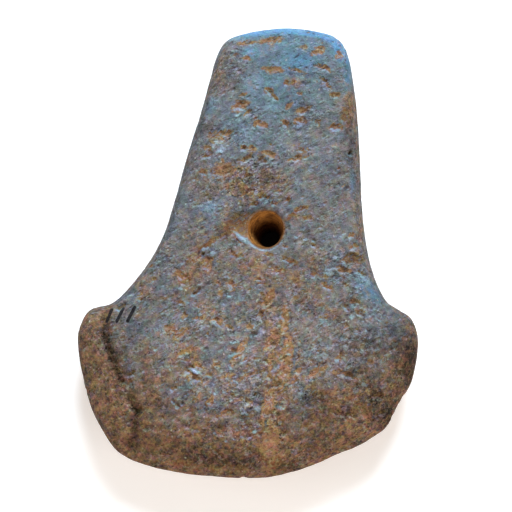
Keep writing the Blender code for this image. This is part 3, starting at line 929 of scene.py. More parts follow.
    # pale flake scars, and some painted highlights such as the lip at the hole's lower left
    pale_flake_and_highlight_patches: tuple[Patch, ...] = Patch.rows(
        (-16.5, -43.9, 3.6, 1.1, -20, 1.2), (-17.5, -28.7, 2.8, 0.9, -12, 0.9),
        (-3.8, -33.9, 3.4, 0.9, 17, 0.9), (-4.5, -42.2, 2.3, 0.8, -40, 1.2), (5, -44, 1.6, 0.9, 10, 0.9),
        (11.7, -40.8, 0.9, 2.2, 0, 1.3), (3, -50.5, 3.6, 1.2, 20, 0.8), (12.5, -54.5, 3.2, 2.6, 20, 1),
        (1.6, -57, 2.6, 1.2, -10, 0.8), (4.6, -63, 1.5, 1, 40, 2), (5.7, -61.3, 1.1, 0.7, 0, 1.5),
        (3, -65.2, 1.7, 0.8, 20, 1.6), (0.3, -65, 1.6, 0.9, 0, 1.5), (-2.2, -65.9, 1.9, 0.8, 0, 1.4),
        (-4.8, -66.7, 1.5, 0.7, 0, 1.3), (-8.8, -64.2, 1.1, 0.8, 0, 1.5), (-6.3, -65.2, 1.4, 0.7, 0, 1.2),
        (-1.2, -62.6, 1.9, 0.7, -20, 1.1), (-2.3, -28.5, 1.1, 0.7, 0, 1.2), (-14.3, -32.4, 1, 0.7, 0, 1),
        (-28, -32.5, 1.8, 0.6, 10, 1), (-8, -36.5, 2.2, 1.7, 0, 0.8), (-20.7, -41, 1.2, 0.8, 0, 1.3),
        (-9.2, -40.5, 1.5, 0.5, 10, 1.2), (-2.5, -46.8, 3.3, 0.8, -35, 1.2),
        (3.8, -47.5, 1.9, 0.7, 39, 1.2), (-9.5, -51, 3.2, 1.4, -15, 0.9), (-12.5, -49, 1.4, 0.9, 0, 0.9),
        (-21, -49.5, 1.6, 0.9, 0, 1), (16.6, -38.2, 1.4, 0.8, 0, 1), (36.8, -28.8, 2.4, 0.7, -15, 1.1),
        (44.5, -23.6, 2, 0.8, -20, 1.2), (48.6, -29.4, 1.8, 0.7, 30, 1.1), (22.5, -45, 2.3, 1.1, 10, 1.1),
        (35.5, -23.2, 2.9, 1.5, 25, 1.2), (26.5, -26.5, 3, 1.3, 10, 0.9), (21.5, -37, 3.6, 0.8, 20, 0.8),
        (30, -4.8, 3.4, 1.1, -35, 1), (31.5, -10.3, 2.4, 0.9, 0, 1.1), (39, -12, 10, 4.6, -30, 0.45),
        (47, -17.5, 9, 3.8, -33, 0.55), (48.5, -36.5, 2.4, 1.1, 15, 1), (-12, 32, 4.4, 1.7, 15, 1.3),
        (-7, 44.3, 2.2, 0.6, 10, 1), (-6, 42.9, 2.2, 0.6, 10, 1.3), (-14.5, 47, 1.6, 0.6, 20, 1),
        (-3, 29, 2, 0.6, 15, 1.2), (-18, 22.5, 1.8, 0.6, 20, 1), (-1, 57, 1.8, 0.6, 10, 1.1),
        (14.6, 52, 1.4, 0.5, 0, 1.1), (19, 65, 2.6, 0.8, 5, 1.1), (23, 55, 1.7, 0.8, 0, 1.1),
        (10, 46.8, 2, 0.8, 0, 0.9), (-16.5, 50.5, 2.6, 4.4, -15, 0.7), (-2.6, 1.3, 4.2, 1.4, -40, 1.5),
        (-51, -23, 6, 2.4, 20, 0.7),
    )
    # blue patches: partly the stone's own blue and partly painted cool light
    blue_and_cool_light_patches: tuple[Patch, ...] = Patch.rows(
        (-16, 6, 12, 13, 0, 0.6), (-13, 12, 9, 4, 8, 0.6), (-4, 67.5, 5, 3.4, 0, 0.7),
        (15, 64.5, 12, 6, 0, 0.5), (27.5, 68.5, 6, 5, 0, 0.6), (30.5, 58, 2.4, 6, 0, 0.6),
        (34, 22, 2.6, 13, 3, 0.9), (41, -13.5, 15, 6.5, -33, 1.15), (-16.5, 48, 3.6, 8, -12, 0.6),
        (-46, -20, 13, 3.6, 22, 0.7), (10, 62, 34, 32, 0, 0.75), (2, 38, 36, 34, 0, 0.4),
        (-8, 36, 14, 14, 0, 0.3),
    )
    washes: tuple[Patch, ...] = Patch.rows(
        (-1, 20.5, 24, 10, 8, 0.55), (-14, 61, 5, 16, -12, 0.45), (32, 50, 3.6, 12, 4, 0.7),
        (36, 22, 2.6, 34, 3, 0.25), (-8, 3.5, 10, 6, 35, 0.65), (15, 9.5, 8, 4, 10, 0.45),
        (6, -9, 30, 10, 0, 0.42), (-21, -11, 8, 15, -25, 0.5), (10, -40, 8, 38, 5, 0.5),
        (-19, -40, 10, 12, 0, 0.38), (34, -55, 22, 14, -8, 0.45), (-36, -58, 13, 13, 0, 0.45),
    )
    # light and dark patches, partly the stone's own tone and partly painted light and shade
    tone_and_shade_patches: tuple[Patch, ...] = Patch.rows(
        (0, -36, 44, 32, 0, 0.45), (-2, -64.5, 9, 4.5, 5, 0.7), (4, -64, 3.5, 2.5, 30, 0.5),
        (10, -54, 6, 6, 0, 0.4), (10.5, -67, 2.8, 6.5, 0, 0.35), (-17, -45, 9, 5, -20, 0.3),
        (-4, -50, 16, 9, 0, 0.4), (-12, 33, 8, 4.5, 20, 0.7), (-4, 45.5, 7, 4, 0, 0.4),
        (-1, 57, 5, 5, 0, 0.4), (-4, 70, 9, 5, 5, 0.4), (27, 3, 9, 8, 0, 0.35), (-27, -38, 14, 14, 0, 0.25),
        (-32, -60, 16, 9, 0, 0.3), (-4, 17, 16, 6, 0, 0.2), (1, -2.5, 11, 3.5, 0, 0.5),
        (5, -9, 18, 6, 0, 0.35), (-13, 12, 8.5, 4, 10, 0.75), (40, -13, 12, 6, -35, -0.15),
        (14, 34, 14, 10, 0, 0.2), (-16.5, 40, 9, 4.5, 0, -0.7), (-13.5, 64.5, 6, 7, 0, -0.4),
        (14, 64, 12, 7, 0, -0.35), (32, 36, 4, 22, 5, -0.7), (30.5, 65, 3, 4, 0, -0.6),
        (3, 22.5, 12, 5, 0, -0.55), (-1, 11, 11, 4, 12, -1.1), (-8.5, 5, 9, 3.2, 38, -0.7),
        (13.5, 8.5, 4, 3, 0, -0.6), (34.5, -4, 6, 4, 0, -0.9), (17, -5.5, 9, 4.5, 0, -0.5),
        (34, -18.5, 6, 4, 0, -0.5), (-30, -20, 10, 5, 0, -0.4), (-40, -38, 14, 18, 20, -0.35),
        (-26, -56, 10, 6.5, 0, -0.75), (-29, -68, 16, 7, -15, -0.5), (-10, -72.5, 24, 6, 0, -0.6),
        (-13, -71.5, 7, 3.5, 0, -0.4), (16, -74, 9, 4, 12, -0.8), (0, -73, 16, 6, 3, -0.65),
        (28, -64.5, 10, 6, 10, -0.9), (34, -54, 9, 3.5, -6, -0.8), (23.5, -50, 4.5, 4, 0, -0.8),
        (22, -54, 14, 9, 0, -0.55), (42, -33, 8, 8, 0, -0.7), (48, -27, 9, 9, 0, -0.85),
        (40, -45, 15, 12, 0, -0.55), (46.5, -54, 9, 9, 0, -1.1), (55, -37, 9, 20, 0, -1.3),
        (-53.5, -50, 4, 8, 20, -0.4), (-38.5, -69, 4.5, 4.5, 0, -0.8), (-36.3, -57, 2.8, 4, 20, -0.6),
        (-37, -63, 2.4, 3.6, 0, -0.6), (-42, -48, 2.2, 3, 30, -0.5),
    )
    # painted shade on the side margins
    margin_shade: float = -0.55
    towards_light: Triple = (0.3, 0.95, 0.0)

    def drift(self, points: np.ndarray) -> np.ndarray:
        """Places in which marks are drawn out along the stroke of the pecking.

        The points are turned so that the stroke lies along x, and x is divided by the stretch.

        Args:
            points: places on the smooth stone.

        Returns:
            The turned places.
        """
        cosine, sine = math.cos(math.radians(self.drift_turn)), math.sin(math.radians(self.drift_turn))
        x, y, z = points.T
        return np.stack([(x * cosine + y * sine) / self.drift_stretch, y * cosine - x * sine, z], axis=1)

    def cut(self, surface: Surface) -> Marks[np.ndarray]:
        """Moves the surface's vertices inwards along their normals, and gathers its marks.

        Args:
            surface: the smooth closed mesh, which is changed.

        Returns:
            The marks of each vertex.
        """
        points, normals = surface.vertices, surface.normals()
        rock = 1 - surface.wall
        face = ease(normals[:, 2], 0.1, 0.6) * rock
        seeds = (self.seed, self.seed + 3, self.seed + 6)
        warp = np.stack([layered_noise(points / 2.4, 3, seed, 0.6) for seed in seeds], axis=1)
        density = self.crowding(points, face)
        pits, pit_soil = self.pecking(points, warp, density)
        scars, scar_soil = self.scarring(points, warp)
        groove, ridges = self.groove(points), self.ridging(points, warp)
        placed = face * (scars + self.groove_depth * groove - ridges)
        depth = rock * (pits + placed + self.weathering(points, density))
        depth += surface.wall * self.drilling(points) + self.chipping(points, normals)
        surface.vertices = points - normals * depth[:, None]
        surface.vertices[:, 2] = np.maximum(surface.vertices[:, 2], 0.0)
        soil = np.maximum.reduce([pit_soil, scar_soil * face, self.veining(points) * face])
        return Marks(
            pecked=density,
            soil=np.clip(soil, 0, 1.3) * rock,
            hollow=(depth - surface.smoothed(depth, 12)) * rock,
            lean=(surface.normals() - normals) @ self.towards_light * rock,
            brown=self.browning(points, normals) * rock,
            tone=self.painted_light_and_shade(points, normals, groove) * rock,
            pale=self.flake_paling_and_highlights(points, normals, ridges) * rock,
            cool=self.blue_and_painted_cool_light(points, normals) * rock,
            wall=surface.smoothed(surface.wall, 2),
        )

    def crowding(self, points: np.ndarray, face: np.ndarray) -> np.ndarray:
        """How closely the stone is pecked: most in the dense patches, and loosely uneven.

        Args:
            points: places on the smooth stone.
            face: 1 on the face, and 0 elsewhere.

        Returns:
            One number for each point.
        """
        x, y, _ = points.T
        density = 0.30 + patched(self.dense, x, y) * face
        return np.clip(density + 0.55 * layered_noise(points / 9.0, 3, self.seed + 20), 0.04, 1)

    def pecking(
        self, points: np.ndarray, warp: np.ndarray, density: np.ndarray
    ) -> tuple[np.ndarray, np.ndarray]:
        """Pecks, bowls and pinholes, drawn out along the stroke.

        Pecks are where noise rises over a level that is lower where they crowd. Of the bowls and
        pinholes, the deeper ones count, and are added to the pecks.

        Args:
            points: places on the smooth stone.
            warp: noise that bends their edges.
            density: how closely the stone is pecked.

        Returns:
            Their depth and their soil.
        """
        bent = (self.drift(points) + warp * 1.1) * [1.0, 1.0, 0.35]
        rough = layered_noise(bent / self.peck_size, 4, self.seed + 30, 0.6)
        pecks = ease(rough, 0.42 - 0.36 * density, 0.76 - 0.36 * density)
        bowls, bowl_tone = scattered_bowls(
            bent / self.bowl_cell, density * 0.95, (0.14, 0.42), self.seed + 40
        )
        pinholes, pinhole_tone = scattered_bowls(
            bent / self.pinhole_cell, density * 1.3, (0.18, 0.45), self.seed + 50
        )
        deeper = np.maximum(
            self.bowl_cell * self.bowl_depth * bowls, self.pinhole_cell * self.pinhole_depth * pinholes
        )
        filled = np.maximum(ease(bowls, 0.02, 0.12) * bowl_tone, ease(pinholes, 0.02, 0.14) * pinhole_tone)
        return self.peck_depth * pecks + deeper, filled + 0.35 * pecks * density

    def weathering(self, points: np.ndarray, density: np.ndarray) -> np.ndarray:
        """What the whole stone has lost: an even depth, with its grain and low swells.

        Args:
            points: places on the smooth stone.
            density: how closely the stone is pecked.

        Returns:
            A depth for each point.
        """
        grain = layered_noise(points / 1.8, 3, self.seed + 60, 0.6)
        swell = layered_noise(points / 7.0, 2, self.seed + 100)
        return self.even_loss + (0.06 + 0.09 * density) * grain + self.swell_height * swell

    def groove(self, points: np.ndarray) -> np.ndarray:
        """How sharply the crease is cut: a narrow bell curve along it, which wanders and breaks.

        Args:
            points: places on the smooth stone.

        Returns:
            One number for each point.
        """
        aside = self.beside_crease(points)
        share = self.along_crease(points, self.groove_shares)
        width = np.where(aside < 0, self.groove_outer, self.groove_inner)
        return share * np.exp(-((aside / width) ** 2))

    def beside_crease(self, points: np.ndarray) -> np.ndarray:
        """How far right of the crease a point lies, with a little wandering.

        Args:
            points: places on the smooth stone.

        Returns:
            One distance for each point.
        """
        x, y, _ = points.T
        wander = layered_noise(points / 4.5, 2, self.seed + 110)
        return x - np.interp(y, self.form.crease_y, self.form.crease_x) - 0.8 * wander

    def along_crease(self, points: np.ndarray, shares: tuple[float, ...]) -> np.ndarray:
        """A value that changes along the crease, and is 0 beyond its ends."""
        return np.interp(points[:, 1], self.form.crease_y, shares, left=0.0, right=0.0)

    def veining(self, points: np.ndarray) -> np.ndarray:
        """How much a point lies in the blade's ochre vein: a narrow bell curve along each strand.

        Args:
            points: places on the smooth stone.

        Returns:
            One number for each point.
        """
        x, y, _ = points.T
        wander = layered_noise(points / 3.2, 3, self.seed + 130)
        most = np.zeros(len(points))
        for strand in self.vein:
            strand_y, strand_x, width = np.array(strand)[::-1].T
            aside = (x - np.interp(y, strand_y, strand_x) - 0.9 * wander) / np.interp(y, strand_y, width)
            beyond = np.maximum(np.maximum(strand_y[0] - y, y - strand_y[-1]), 0) / 1.5
            most = np.maximum(most, np.exp(-(aside**2) - beyond**2))
        return most * (0.95 + 0.40 * layered_noise(points / 2.6, 3, self.seed + 140))

    def scarring(self, points: np.ndarray, warp: np.ndarray) -> tuple[np.ndarray, np.ndarray]:
        """Depth and soil of the listed scars, with ragged edges from the warp.

        Args:
            points: places on the smooth stone.
            warp: noise that bends their edges.

        Returns:
            The depth and the soil at each point.
        """
        x, y = (points[:, axis] + warp[:, axis] * self.ragged_scars for axis in (0, 1))
        depth, soil = np.zeros(len(points)), np.zeros(len(points))
        for scar in self.scars:
            inwards = 1 - scar.reach(x, y)
            depth = np.maximum(depth, scar.depth * ease(inwards, -0.08, 0.55))
            stain = 0.45 * ease(inwards, -1.4, 0.0) + 0.55 * ease(inwards, -0.55, 0.25)
            soil = np.maximum(soil, scar.soil * stain)
        depth *= 1 + 0.45 * layered_noise(points / 1.6, 2, self.seed + 120)
        return depth, soil

    def ridging(self, points: np.ndarray, warp: np.ndarray) -> np.ndarray:
        """Height of the listed small ridges, with ragged edges from the warp."""
        x, y = (points[:, axis] + warp[:, axis] * self.ragged_ridges for axis in (0, 1))
        return self.ridge_height * patched(self.ridges, x, y)

    def flake_paling_and_highlights(self, points: np.ndarray, normals: np.ndarray, ridges: np.ndarray) -> np.ndarray:
        """How pale the stone is: in a few flakes, and as painted highlights on ridges, on some listed
        patches, and round the lower lip of the hole, which faces the lamp.

        Args:
            points: places on the smooth stone.
            normals: unit normals there.
            ridges: height of the ridges there.

        Returns:
            One number for each point.
        """
        x, y, _ = points.T
        flakes = patched(self.pale_flake_and_highlight_patches, x, y) + 1.4 * ridges
        bore = self.form.bore
        off_lip = np.abs(ellipse_reach(x, y, bore.centre, bore.radii) - 1.08)
        # painted highlight round the lower lip of the hole, on the side that faces the lamp
        lip = 1.3 * ease(1 - off_lip / 0.13) * ease(bore.centre[1] - y, 0.5, 5.0)
        return np.clip((flakes + lip) * ease(normals[:, 2], 0.1, 0.6), 0, 1.8)

    def blue_and_painted_cool_light(self, points: np.ndarray, normals: np.ndarray) -> np.ndarray:
        """How blue the stone is, much of it painted cool light: most on the faces of the poll's edge that
        turn towards the poll lamp, and in a few patches that are partly the stone's own blue.

        Args:
            points: places on the smooth stone.
            normals: unit normals there.

        Returns:
            One number for each point.
        """
        x, y, _ = points.T
        patches = patched(self.blue_and_cool_light_patches, x, y) * ease(normals[:, 2], 0.0, 0.4)
        # painted cool light: the poll's edge is blued where its faces turn towards the poll lamp
        edge = ease(normals[:, 1] * 0.9 + normals[:, 0] * 0.45, 0.05, 0.85) * ease(y, 50.0, 68.0)
        edge *= 0.25 + 0.75 * ease(normals[:, 2], -0.10, 0.40)
        return np.clip(patches + 1.3 * edge, 0, 1.5)

    def chipping(self, points: np.ndarray, normals: np.ndarray) -> np.ndarray:
        """Depth of the small bites out of the lower right margin.

        Args:
            points: places on the smooth stone.
            normals: unit normals there.

        Returns:
            A depth for each point.
        """
        x, y, _ = points.T
        corner = ease(0.8 * x - 0.6 * y, 57.0, 66.0) * ease(-y, 40.0, 52.0)
        near = corner * ease(1 - np.abs(normals[:, 2]), 0.1, 0.7)
        return self.bite_depth * near * ease(layered_noise(points / 7.5, 3, self.seed + 170), 0.0, 0.6)

    def drilling(self, points: np.ndarray) -> np.ndarray:
        """Faint rings round the hole's wall: a sine down the hole, uneven round it."""
        uneven = layered_noise(points / 2.2, 3, self.seed + 70)
        return self.ring_depth * np.sin(points[:, 2] * 4.2 + uneven * 1.4) + 0.10 * uneven + 0.02

    def browning(self, points: np.ndarray, normals: np.ndarray) -> np.ndarray:
        """How brown the stone is: most at the bit and the blade's margins, and in loose patches.

        Args:
            points: places on the smooth stone.
            normals: unit normals there.

        Returns:
            One number for each point.
        """
        x, y, _ = points.T
        form = self.form
        outside = np.interp(y, form.crease_y, form.crease_x) - x
        left = 0.9 * ease(outside, -1.0, 2.0) * ease(-y, 20.0, 34.0)
        bit = 0.85 * ease(-y, 44.0, 78.0)
        right = ease(x, 40.0, 56.0) * ease(-y, 26.0, 44.0)
        corner = ease(x * 0.6 - y, 62.0, 84.0)
        blade = 0.18 * ease(-y, -5.0, 40.0)
        patches = 0.40 * ease(layered_noise(points / 13.0, 3, self.seed + 80), 0.0, 0.6)
        patches += patched(self.washes, x, y)
        margin = 0.55 * ease(1 - normals[:, 2], 0.3, 0.9) * (0.3 + 0.7 * ease(-y, -20.0, 20.0))
        valley = 0.6 * form.crease(x, y) / form.crease_depth
        most = np.maximum.reduce([left, bit, right, corner, margin, valley])
        return np.clip(most + blade + patches, 0, 1)

    def painted_light_and_shade(self, points: np.ndarray, normals: np.ndarray, groove: np.ndarray) -> np.ndarray:
        """How light or dark the stone is painted: painted shade along the crease and down the side margins,
        painted light on the bank beside the crease, and patches that are partly painted light and shade and
        partly the stone's own tone.

        Args:
            points: places on the smooth stone.
            normals: unit normals there.
            groove: how sharply the crease is cut there.

        Returns:
            One number for each point.
        """
        x, y, _ = points.T
        shares = self.along_crease(points, self.valley_shares)
        valley = self.form.crease(x, y) / self.form.crease_depth * shares
        bank = np.exp(-(((self.beside_crease(points) + 2.4) / 1.3) ** 2)) * shares
        upper = ease(normals[:, 2], 0.0, 0.6)
        # painted shade in the crease, and painted light on the bank beside it
        placed = patched(self.tone_and_shade_patches, x, y) - 0.6 * groove - valley + 0.25 * bank
        # painted shade on the side margins, below the poll
        sideways = ease(1 - normals[:, 2], 0.05, 0.55) * ease(normals[:, 2], -0.7, 0.1)
        margin = self.margin_shade * sideways * ease(70 - y, 0, 14)
        loose = 0.30 * layered_noise(points / 8.0, 3, self.seed + 90)
        return np.clip(placed * upper + margin + loose, -1.7, 0.9)


class Signal:
    """A shader socket that arithmetic can be written on, adding Math nodes."""

    def __init__(self, graph: "Graph", socket: bpy.types.NodeSocket) -> None:
        """Keeps the socket and the graph that it is in."""
        self.graph = graph
        self.socket = socket

    def __add__(self, other: "Signal | float") -> "Signal":
        """This plus other."""
        return self.graph.maths("ADD", self, other)

    __radd__ = __add__

    def __mul__(self, other: "Signal | float") -> "Signal":
        """This times other."""
        return self.graph.maths("MULTIPLY", self, other)

    __rmul__ = __mul__

    def __sub__(self, other: "Signal | float") -> "Signal":
        """This minus other."""
        return self.graph.maths("SUBTRACT", self, other)

    def __rsub__(self, other: "Signal | float") -> "Signal":
        """Other minus this."""
        return self.graph.maths("SUBTRACT", other, self)


class MixSockets(Enum):
    """Where a colour Mix node keeps its sockets."""

    FACTOR = 0
    FIRST = 6
    SECOND = 7
    RESULT = 2


class Graph:
    """Writes the nodes of one material."""

    def __init__(self, name: str) -> None:
        """Makes a material with its Principled shader.

        Args:
            name: the material's name.
        """
        self.material = bpy.data.materials.new(name)
        self.material.use_nodes = True
        self.tree = self.material.node_tree
        self.shader = self.tree.nodes["Principled BSDF"]

    def node(self, kind: str, settings: dict[str, Any], values: dict[Any, Any]) -> bpy.types.Node:
        """Adds a node.

        Args:
            kind: the node's type.
            settings: its own options, set first.
            values: a number, colour or Signal for each input, by name or place.

        Returns:
            The node.
        """
        made = self.tree.nodes.new(kind)
        for name, value in settings.items():
            setattr(made, name, value)
        self.feed(made, values)
        return made

    def feed(self, node: bpy.types.Node, values: dict[Any, Any]) -> None:
        """Gives each named input of a node its value or link.

        Args:
            node: the node.
            values: a number, colour or Signal for each input.
        """
        for key, value in values.items():
            if isinstance(value, Signal):
                self.tree.links.new(value.socket, node.inputs[key])
            else:
                node.inputs[key].default_value = value

    def maths(self, operation: str, *values: "Signal | float") -> Signal:
        """A Math node on numbers."""
        made = self.node("ShaderNodeMath", {"operation": operation}, dict(enumerate(values)))
        return Signal(self, made.outputs[0])

    def vector_maths(self, operation: str, *values: Any) -> Signal:
        """A Vector Math node that gives a vector."""
        made = self.node("ShaderNodeVectorMath", {"operation": operation}, dict(enumerate(values)))
        return Signal(self, made.outputs[0])

    def measured(self, operation: str, first: Any, second: Any) -> Signal:
        """A Vector Math node that gives a number."""
        made = self.node("ShaderNodeVectorMath", {"operation": operation}, {0: first, 1: second})
        return Signal(self, made.outputs["Value"])

    def scaled(self, vector: Any, factor: "Signal | float") -> Signal:
        """A vector or colour times a number."""
        made = self.node("ShaderNodeVectorMath", {"operation": "SCALE"}, {0: vector, "Scale": factor})
        return Signal(self, made.outputs[0])

    def height_of(self, place: Signal) -> Signal:
        """A place's z."""
        return Signal(self, self.node("ShaderNodeSeparateXYZ", {}, {"Vector": place}).outputs["Z"])

    def place(self) -> Signal:
        """Object coordinates, in metres."""
        return Signal(self, self.node("ShaderNodeTexCoord", {}, {}).outputs["Object"])

    def mix(self, factor: "Signal | float", first: Any, second: Any, blend: str = "MIX") -> Signal:
        """A colour Mix node from first to second.

        Args:
            factor: from 0 for the first to 1 for the second.
            first, second: the colours.
            blend: how they mix.

        Returns:
            The mixed colour.
        """
        inputs = (MixSockets.FACTOR.value, MixSockets.FIRST.value, MixSockets.SECOND.value)
        settings = {"data_type": "RGBA", "blend_type": blend, "clamp_factor": True}
        made = self.node("ShaderNodeMix", settings, dict(zip(inputs, (factor, first, second))))
        return Signal(self, made.outputs[MixSockets.RESULT.value])

    def step(self, value: Signal, low: "Signal | float", high: "Signal | float") -> Signal:
        """Rises smoothly from 0 where value is low to 1 where it is high.

        Args:
            value: what is measured.
            low, high: the ends of the rise.

        Returns:
            A number from 0 to 1.
        """
        settings = {"interpolation_type": "SMOOTHSTEP"}
        values = {"Value": value, "From Min": low, "From Max": high}
        return Signal(self, self.node("ShaderNodeMapRange", settings, values).outputs[0])

    def mark(self, name: str) -> Signal:
        """A number that the mesh carries at each vertex."""
        settings = {"attribute_type": "GEOMETRY", "attribute_name": name}
        return Signal(self, self.node("ShaderNodeAttribute", settings, {}).outputs["Fac"])

    def bowls(self, place: Signal, size: float, share: Signal, radii: Point) -> tuple[Signal, Signal]:
        """Bowls scattered over cells of that size.

        A cell's bowl has a random radius. It rises from 0 at its rim to 1 at its centre.

        Args:
            place: where, in millimetres.
            size: the size of a cell, in millimetres.
            share: the share of cells that hold a bowl.
            radii: the least and greatest radius, in cells.

        Returns:
            The bowls, and a random number from 0 to 1 for each.
        """
        reach, (first, second, third) = self.cells(place, size)
        least, most = radii
        radius = first * (most - least) + least
        bowl = 1 - self.step(reach, radius * 0.15, radius)
        return bowl * self.step(share - second, 0.0, 0.1), third

    def cells(self, place: Signal, size: float) -> tuple[Signal, tuple[Signal, ...]]:
        """The distance from the nearest cell's middle, in cells, and three random numbers of its own.

        Args:
            place: where, in millimetres.
            size: the size of a cell, in millimetres.

        Returns:
            The distance and the numbers.
        """
        cells = self.node("ShaderNodeTexVoronoi", {}, {"Vector": place, "Scale": 1 / size, "Detail": 0.0})
        parts = self.node("ShaderNodeSeparateColor", {}, {"Color": Signal(self, cells.outputs["Color"])})
        numbers = tuple(Signal(self, output) for output in parts.outputs)
        return Signal(self, cells.outputs["Distance"]), numbers

    def segment(self, place: Signal, start: Point, end: Point) -> Signal:
        """The distance from a line on the face, which runs from start to end.

        The place's share of the way along the line, kept between 0 and 1, gives the nearest point
        of the line.

        Args:
            place: where, in millimetres.
            start, end: the ends of the line.

        Returns:
            The distance, in millimetres.
        """
        flat = self.vector_maths("MULTIPLY", place, (1.0, 1.0, 0.0))
        along = (end[0] - start[0], end[1] - start[1], 0.0)
        square = along[0] ** 2 + along[1] ** 2
        from_start = self.vector_maths("SUBTRACT", flat, (*start, 0.0))
        share = self.node(
            "ShaderNodeMath",
            {"operation": "MULTIPLY", "use_clamp": True},
            {0: self.measured("DOT_PRODUCT", from_start, along), 1: 1 / square},
        )
        nearest = self.scaled(along, Signal(self, share.outputs[0]))
        return self.measured("DISTANCE", from_start, nearest)

    def noise(self, place: Signal, size: float, detail: float, rough: float = 0.5) -> Signal:
        """Layered noise from 0 to 1 whose coarsest layer has that size."""
        values = {"Vector": place, "Scale": 1 / size, "Detail": detail, "Roughness": rough}
        return Signal(self, self.node("ShaderNodeTexNoise", {}, values).outputs["Fac"])


@dataclass(frozen=True)
class Patterns:
    """The noises, cells and bowls that the stone's colours and relief share, and what they read.

    Place and shaken are places in millimetres. Fray and lip are above or below 0, and the others
    are from 0 to 1.
    """

    graph: Graph
    marks: Marks[Signal]
    place: Signal
    shaken: Signal
    hue: Signal
    blotch: Signal
    veil: Signal
    ragged: Signal
    fray: Signal
    grit: Signal
    grit_hue: Signal
    facet: Signal
    facet_hue: Signal
    facet_kind: Signal
    granular: Signal
    crest: Signal
    trough: Signal
    pits: Signal
    pricks: Signal
    lip: Signal
    pores: Signal
    pore_tone: Signal
    filled: Signal
    dust: Signal


